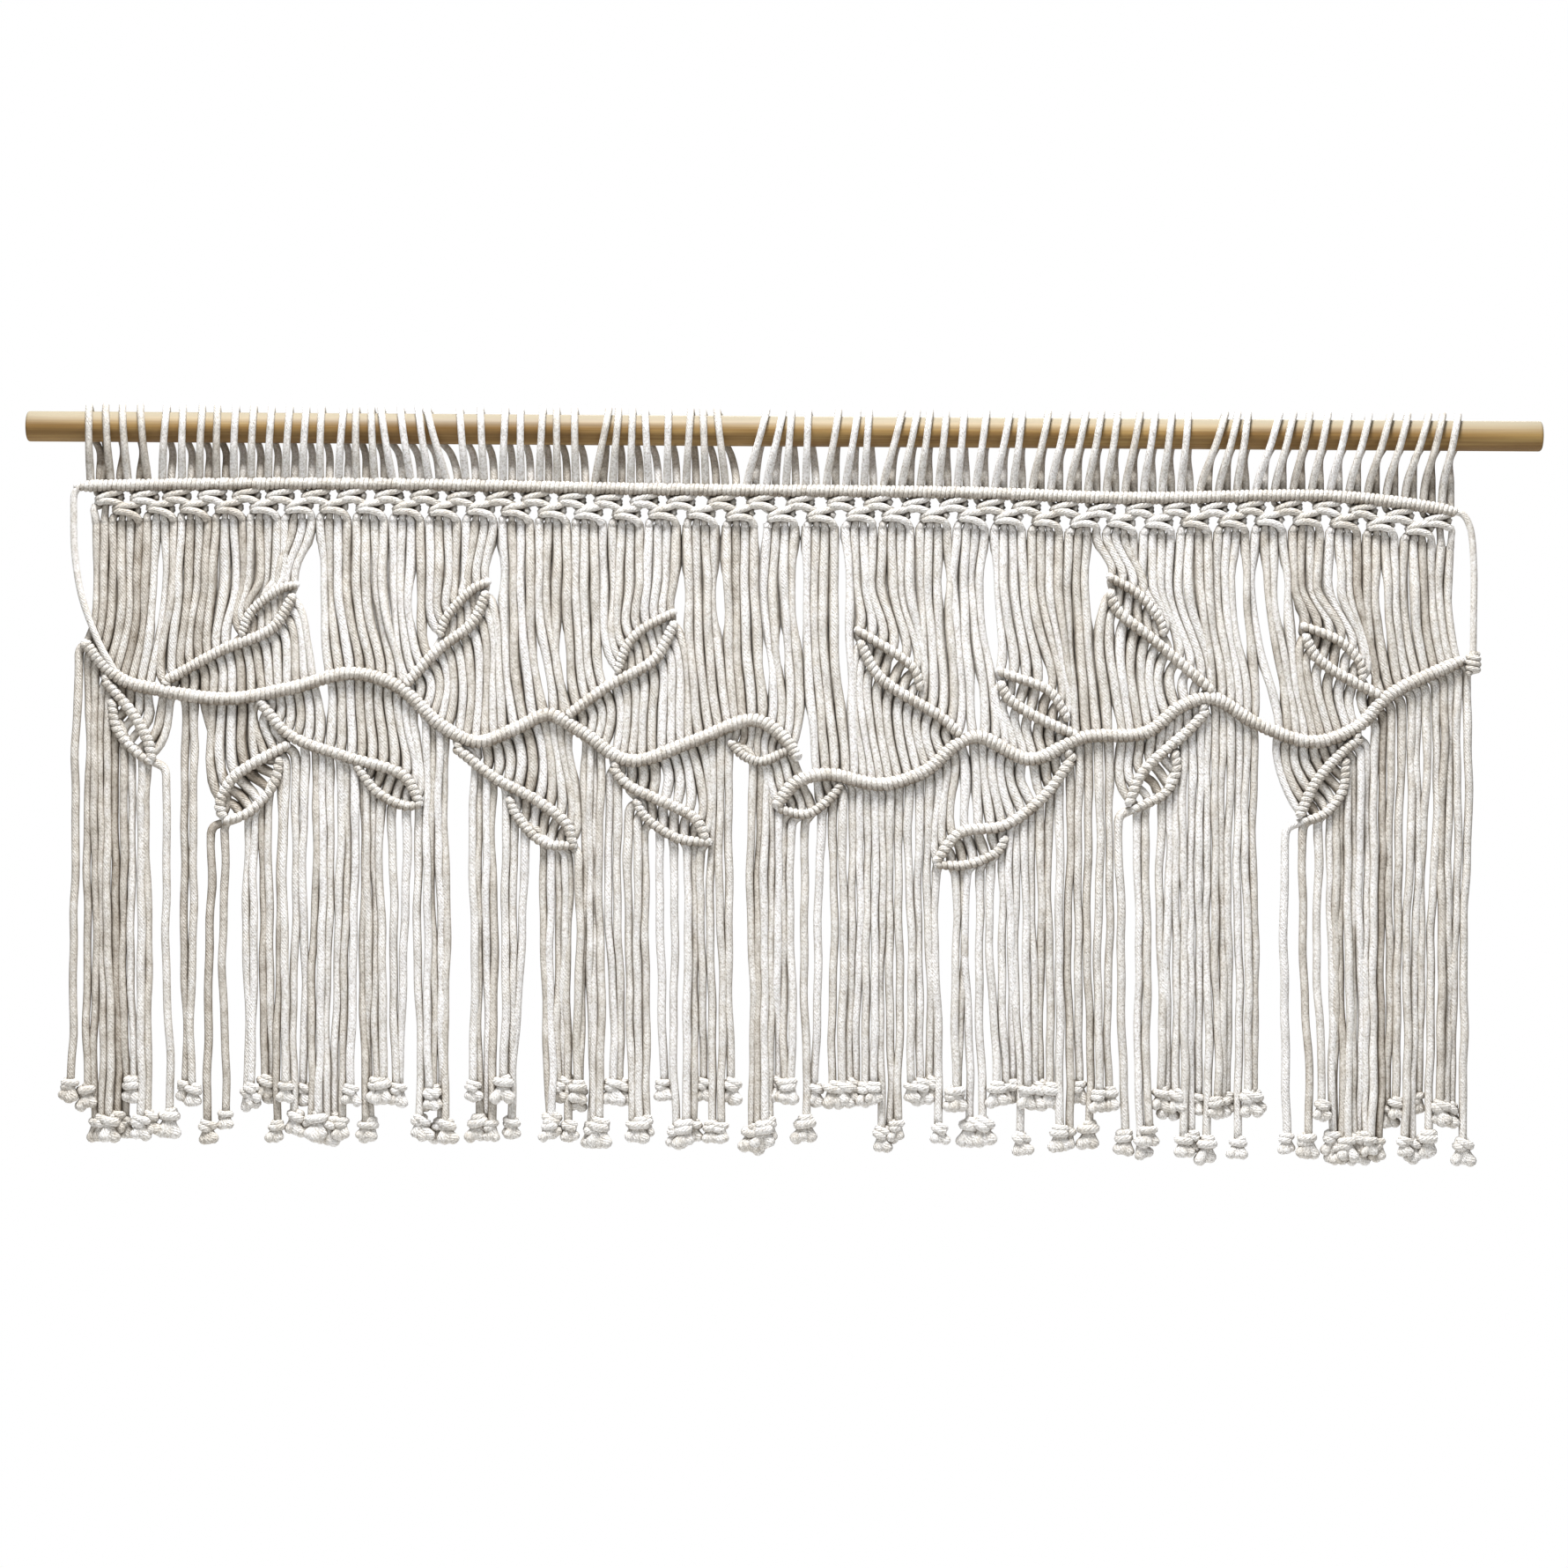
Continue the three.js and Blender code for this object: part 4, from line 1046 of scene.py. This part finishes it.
def make_strands():
    """The hanging strands. Where they lie side by side their backs press flat and fill the room between."""
    laid = [strand_line(strand) for strand in range(STRANDS)]
    skein = Skein()
    for strand, (line, inside) in enumerate(laid):
        above_hang = line[:, 2] - hang_height(strand)
        pressed = rise(above_hang, -40, 10) * np.clip(0.3 + steps_along(line) / 6, 0, 1)
        hanging = rise(-above_hang, 0, 80)
        core = softened(STRING_RADIUS + (LEAF_STRING - STRING_RADIUS) * inside)
        core = core * (1 + (strand_girth[strand] * FRINGE_SWELL - 1) * hanging)
        core[0] *= 0.93
        kept = np.union1d([1], thinned(line))
        gaps = [nearest_neighbour(line, laid[other][0]) if 0 <= other < STRANDS else
                np.full(len(line), FAR_OFF) for other in (strand - 1, strand + 1)]
        alone = softened(np.minimum(*gaps) > LONE_GAP) * rise(steps_along(line), 0, 20)
        core = core * (1 + THICKER_ALONE * alone * (1 - hanging))
        spread = []
        for gap, slit in zip(gaps, widest_closed[strand: strand + 2]):
            closable = np.where(line[:, 2] > PARTING_HEIGHT - 40, slit, CLOSABLE_GAP)
            half = np.where(gap < closable, (gap / 2).clip(STRING_RADIUS, WIDEST_STRING), STRING_RADIUS)
            half = softened(STRING_RADIUS + (half - STRING_RADIUS) * pressed)
            touching = softened(1.0 * (half > STRING_RADIUS + 0.05))
            spread.append((1 + (PRESSED_WIDTH * half / core - 1) * touching)[kept])
        # Painted shade: inside a leaf the strings are painted greyer but their creases paler. A lone sloping
        # string is painted greyer too.
        in_leaf = softened(inside)[kept]
        sloping = (alone * abs(travel(line)[:, 0]))[kept]
        skein.lay(line[kept], core[kept], tone=strand_tone_and_shade[strand] - 0.3 * in_leaf - 0.8 * sloping,
                  shaded=(0.66 + 0.3 * hanging[kept]) * (1 - 0.4 * in_leaf), side_shade=PAINTED_SIDE_SHADE,
                  outward=np.tile(FRONT, (len(kept), 1)), spread=spread,
                  fullest=FULLEST["above"] + (FULLEST["below"] - FULLEST["above"]) * hanging[kept],
                  round_ends=False)
    return skein.made("hanging_strands", "string_curtain")


def make_end_knots():
    """An end knot for every strand."""
    skein = Skein()
    for strand in range(STRANDS):
        end_knot(skein, strand)
    return skein.made("end_knots")


def make_bars():
    """Vines and leaves, one piece each."""
    made = []
    for name in [vine["name"] for vine in VINES] + [leaf["name"] for leaf in LEAVES]:
        skein = Skein()
        for bar in bars:
            if bar["piece"] == name:
                wraps = 2 * (bar["last"] - bar["first"] + 1)
                lean = 1 if "left" in name else -1
                wind_bar(skein, bar["line"], wraps, BAR_OUTER[bar["kind"]], BAR_FULLNESS[bar["kind"]], lean)
        made.append(skein.made(f"{name}_hitches", name))
    return made


def make_side_knot():
    """The barrel knot that ends the holding cord at the right edge: its wraps, and the cord inside."""
    turns = np.linspace(0, 3.6, 64)
    share = turns / turns[-1]
    height = BARREL["top"] + (BARREL["foot"] - BARREL["top"]) * share
    swell = BARREL["radius"] * (0.82 + 0.18 * np.sin(math.pi * share))
    outward = np.stack([np.cos(2 * math.pi * turns), np.sin(2 * math.pi * turns), 0 * turns], axis=1)
    centre = np.stack([BARREL["x"] + 0 * turns, BARREL["y"] + 0 * turns, height], axis=1)
    skein = Skein()
    skein.lay(centre + outward * swell[:, None], 2.15, sides=10, tone=0.1)
    skein.lay(centre[::8] + (0, 0, 0.5), 3.0, sides=10, tone=0.1)
    return skein.made("side_barrel_knot", "side_knot")


make_side_cords()
make_rod()
heading = make_heading()
top_bar = make_top_bar()
square_knots = make_square_knots()
strands = make_strands()
end_knots = make_end_knots()
bar_pieces = make_bars()
side_knot = make_side_knot()


FLOOR = {"radius": 2.2, "height": -1.36, "corners": 95}
LAMPS_AIM = (0, 0, -0.25)
# Name, place, width and height in metres, and power in watts.
LAMPS = [("high lamp", (-0.2, -1.05, 2.45), (0.8, 0.8), 156), ("low lamp", (-0.3, -2.6, -0.3), (1.2, 1.2), 6),
         ("rear lamp", (0.4, 2.3, 1.2), (1.4, 1.4), 30)]
# The surround is bright to the camera, and lights the curtain less.
SURROUND = {"To Min": 0.3, "To Max": 1.0}


def make_studio():
    """A pale floor well below, a white surround, a wide lamp high in front, a weak one lower down, and one
    for the back."""
    floor_mesh = bpy.data.meshes.new("floor")
    around = [(FLOOR["radius"] * math.cos(a), FLOOR["radius"] * math.sin(a), FLOOR["height"])
              for a in np.linspace(0, 2 * math.pi, FLOOR["corners"] + 1)[:-1]]
    floor_mesh.from_pydata(around, [], [list(range(FLOOR["corners"]))])
    floor_mesh.materials.append(white_floor())
    floor = bpy.data.objects.new("floor", floor_mesh)
    bpy.context.scene.collection.objects.link(floor)
    for name, place, size, power in LAMPS:
        data = bpy.data.lights.new(name, "AREA")
        data.shape, data.size, data.size_y = "RECTANGLE", *size
        data.energy = power
        lamp = bpy.data.objects.new(name, data)
        lamp.location = place
        x, y, z = np.array(LAMPS_AIM) - np.array(place)
        lamp.rotation_euler = (math.atan2(math.hypot(x, y), -z), 0, math.atan2(y, x) - math.pi / 2)
        bpy.context.scene.collection.objects.link(lamp)
    world = bpy.data.worlds.new("white surround")
    world.use_nodes = True
    tree = world.node_tree
    tree.nodes.clear()
    seen = node(tree, "LightPath")
    bright = node(tree, "MapRange", SURROUND, {"Value": seen.outputs["Is Camera Ray"]})
    surround = node(tree, "Background", {"Color": (1, 1, 1, 1)}, {"Strength": bright.outputs[0]})
    node(tree, "OutputWorld", links={"Surface": surround.outputs[0]})
    bpy.context.scene.world = world
    bpy.context.scene.view_settings.view_transform = "Standard"


make_studio()
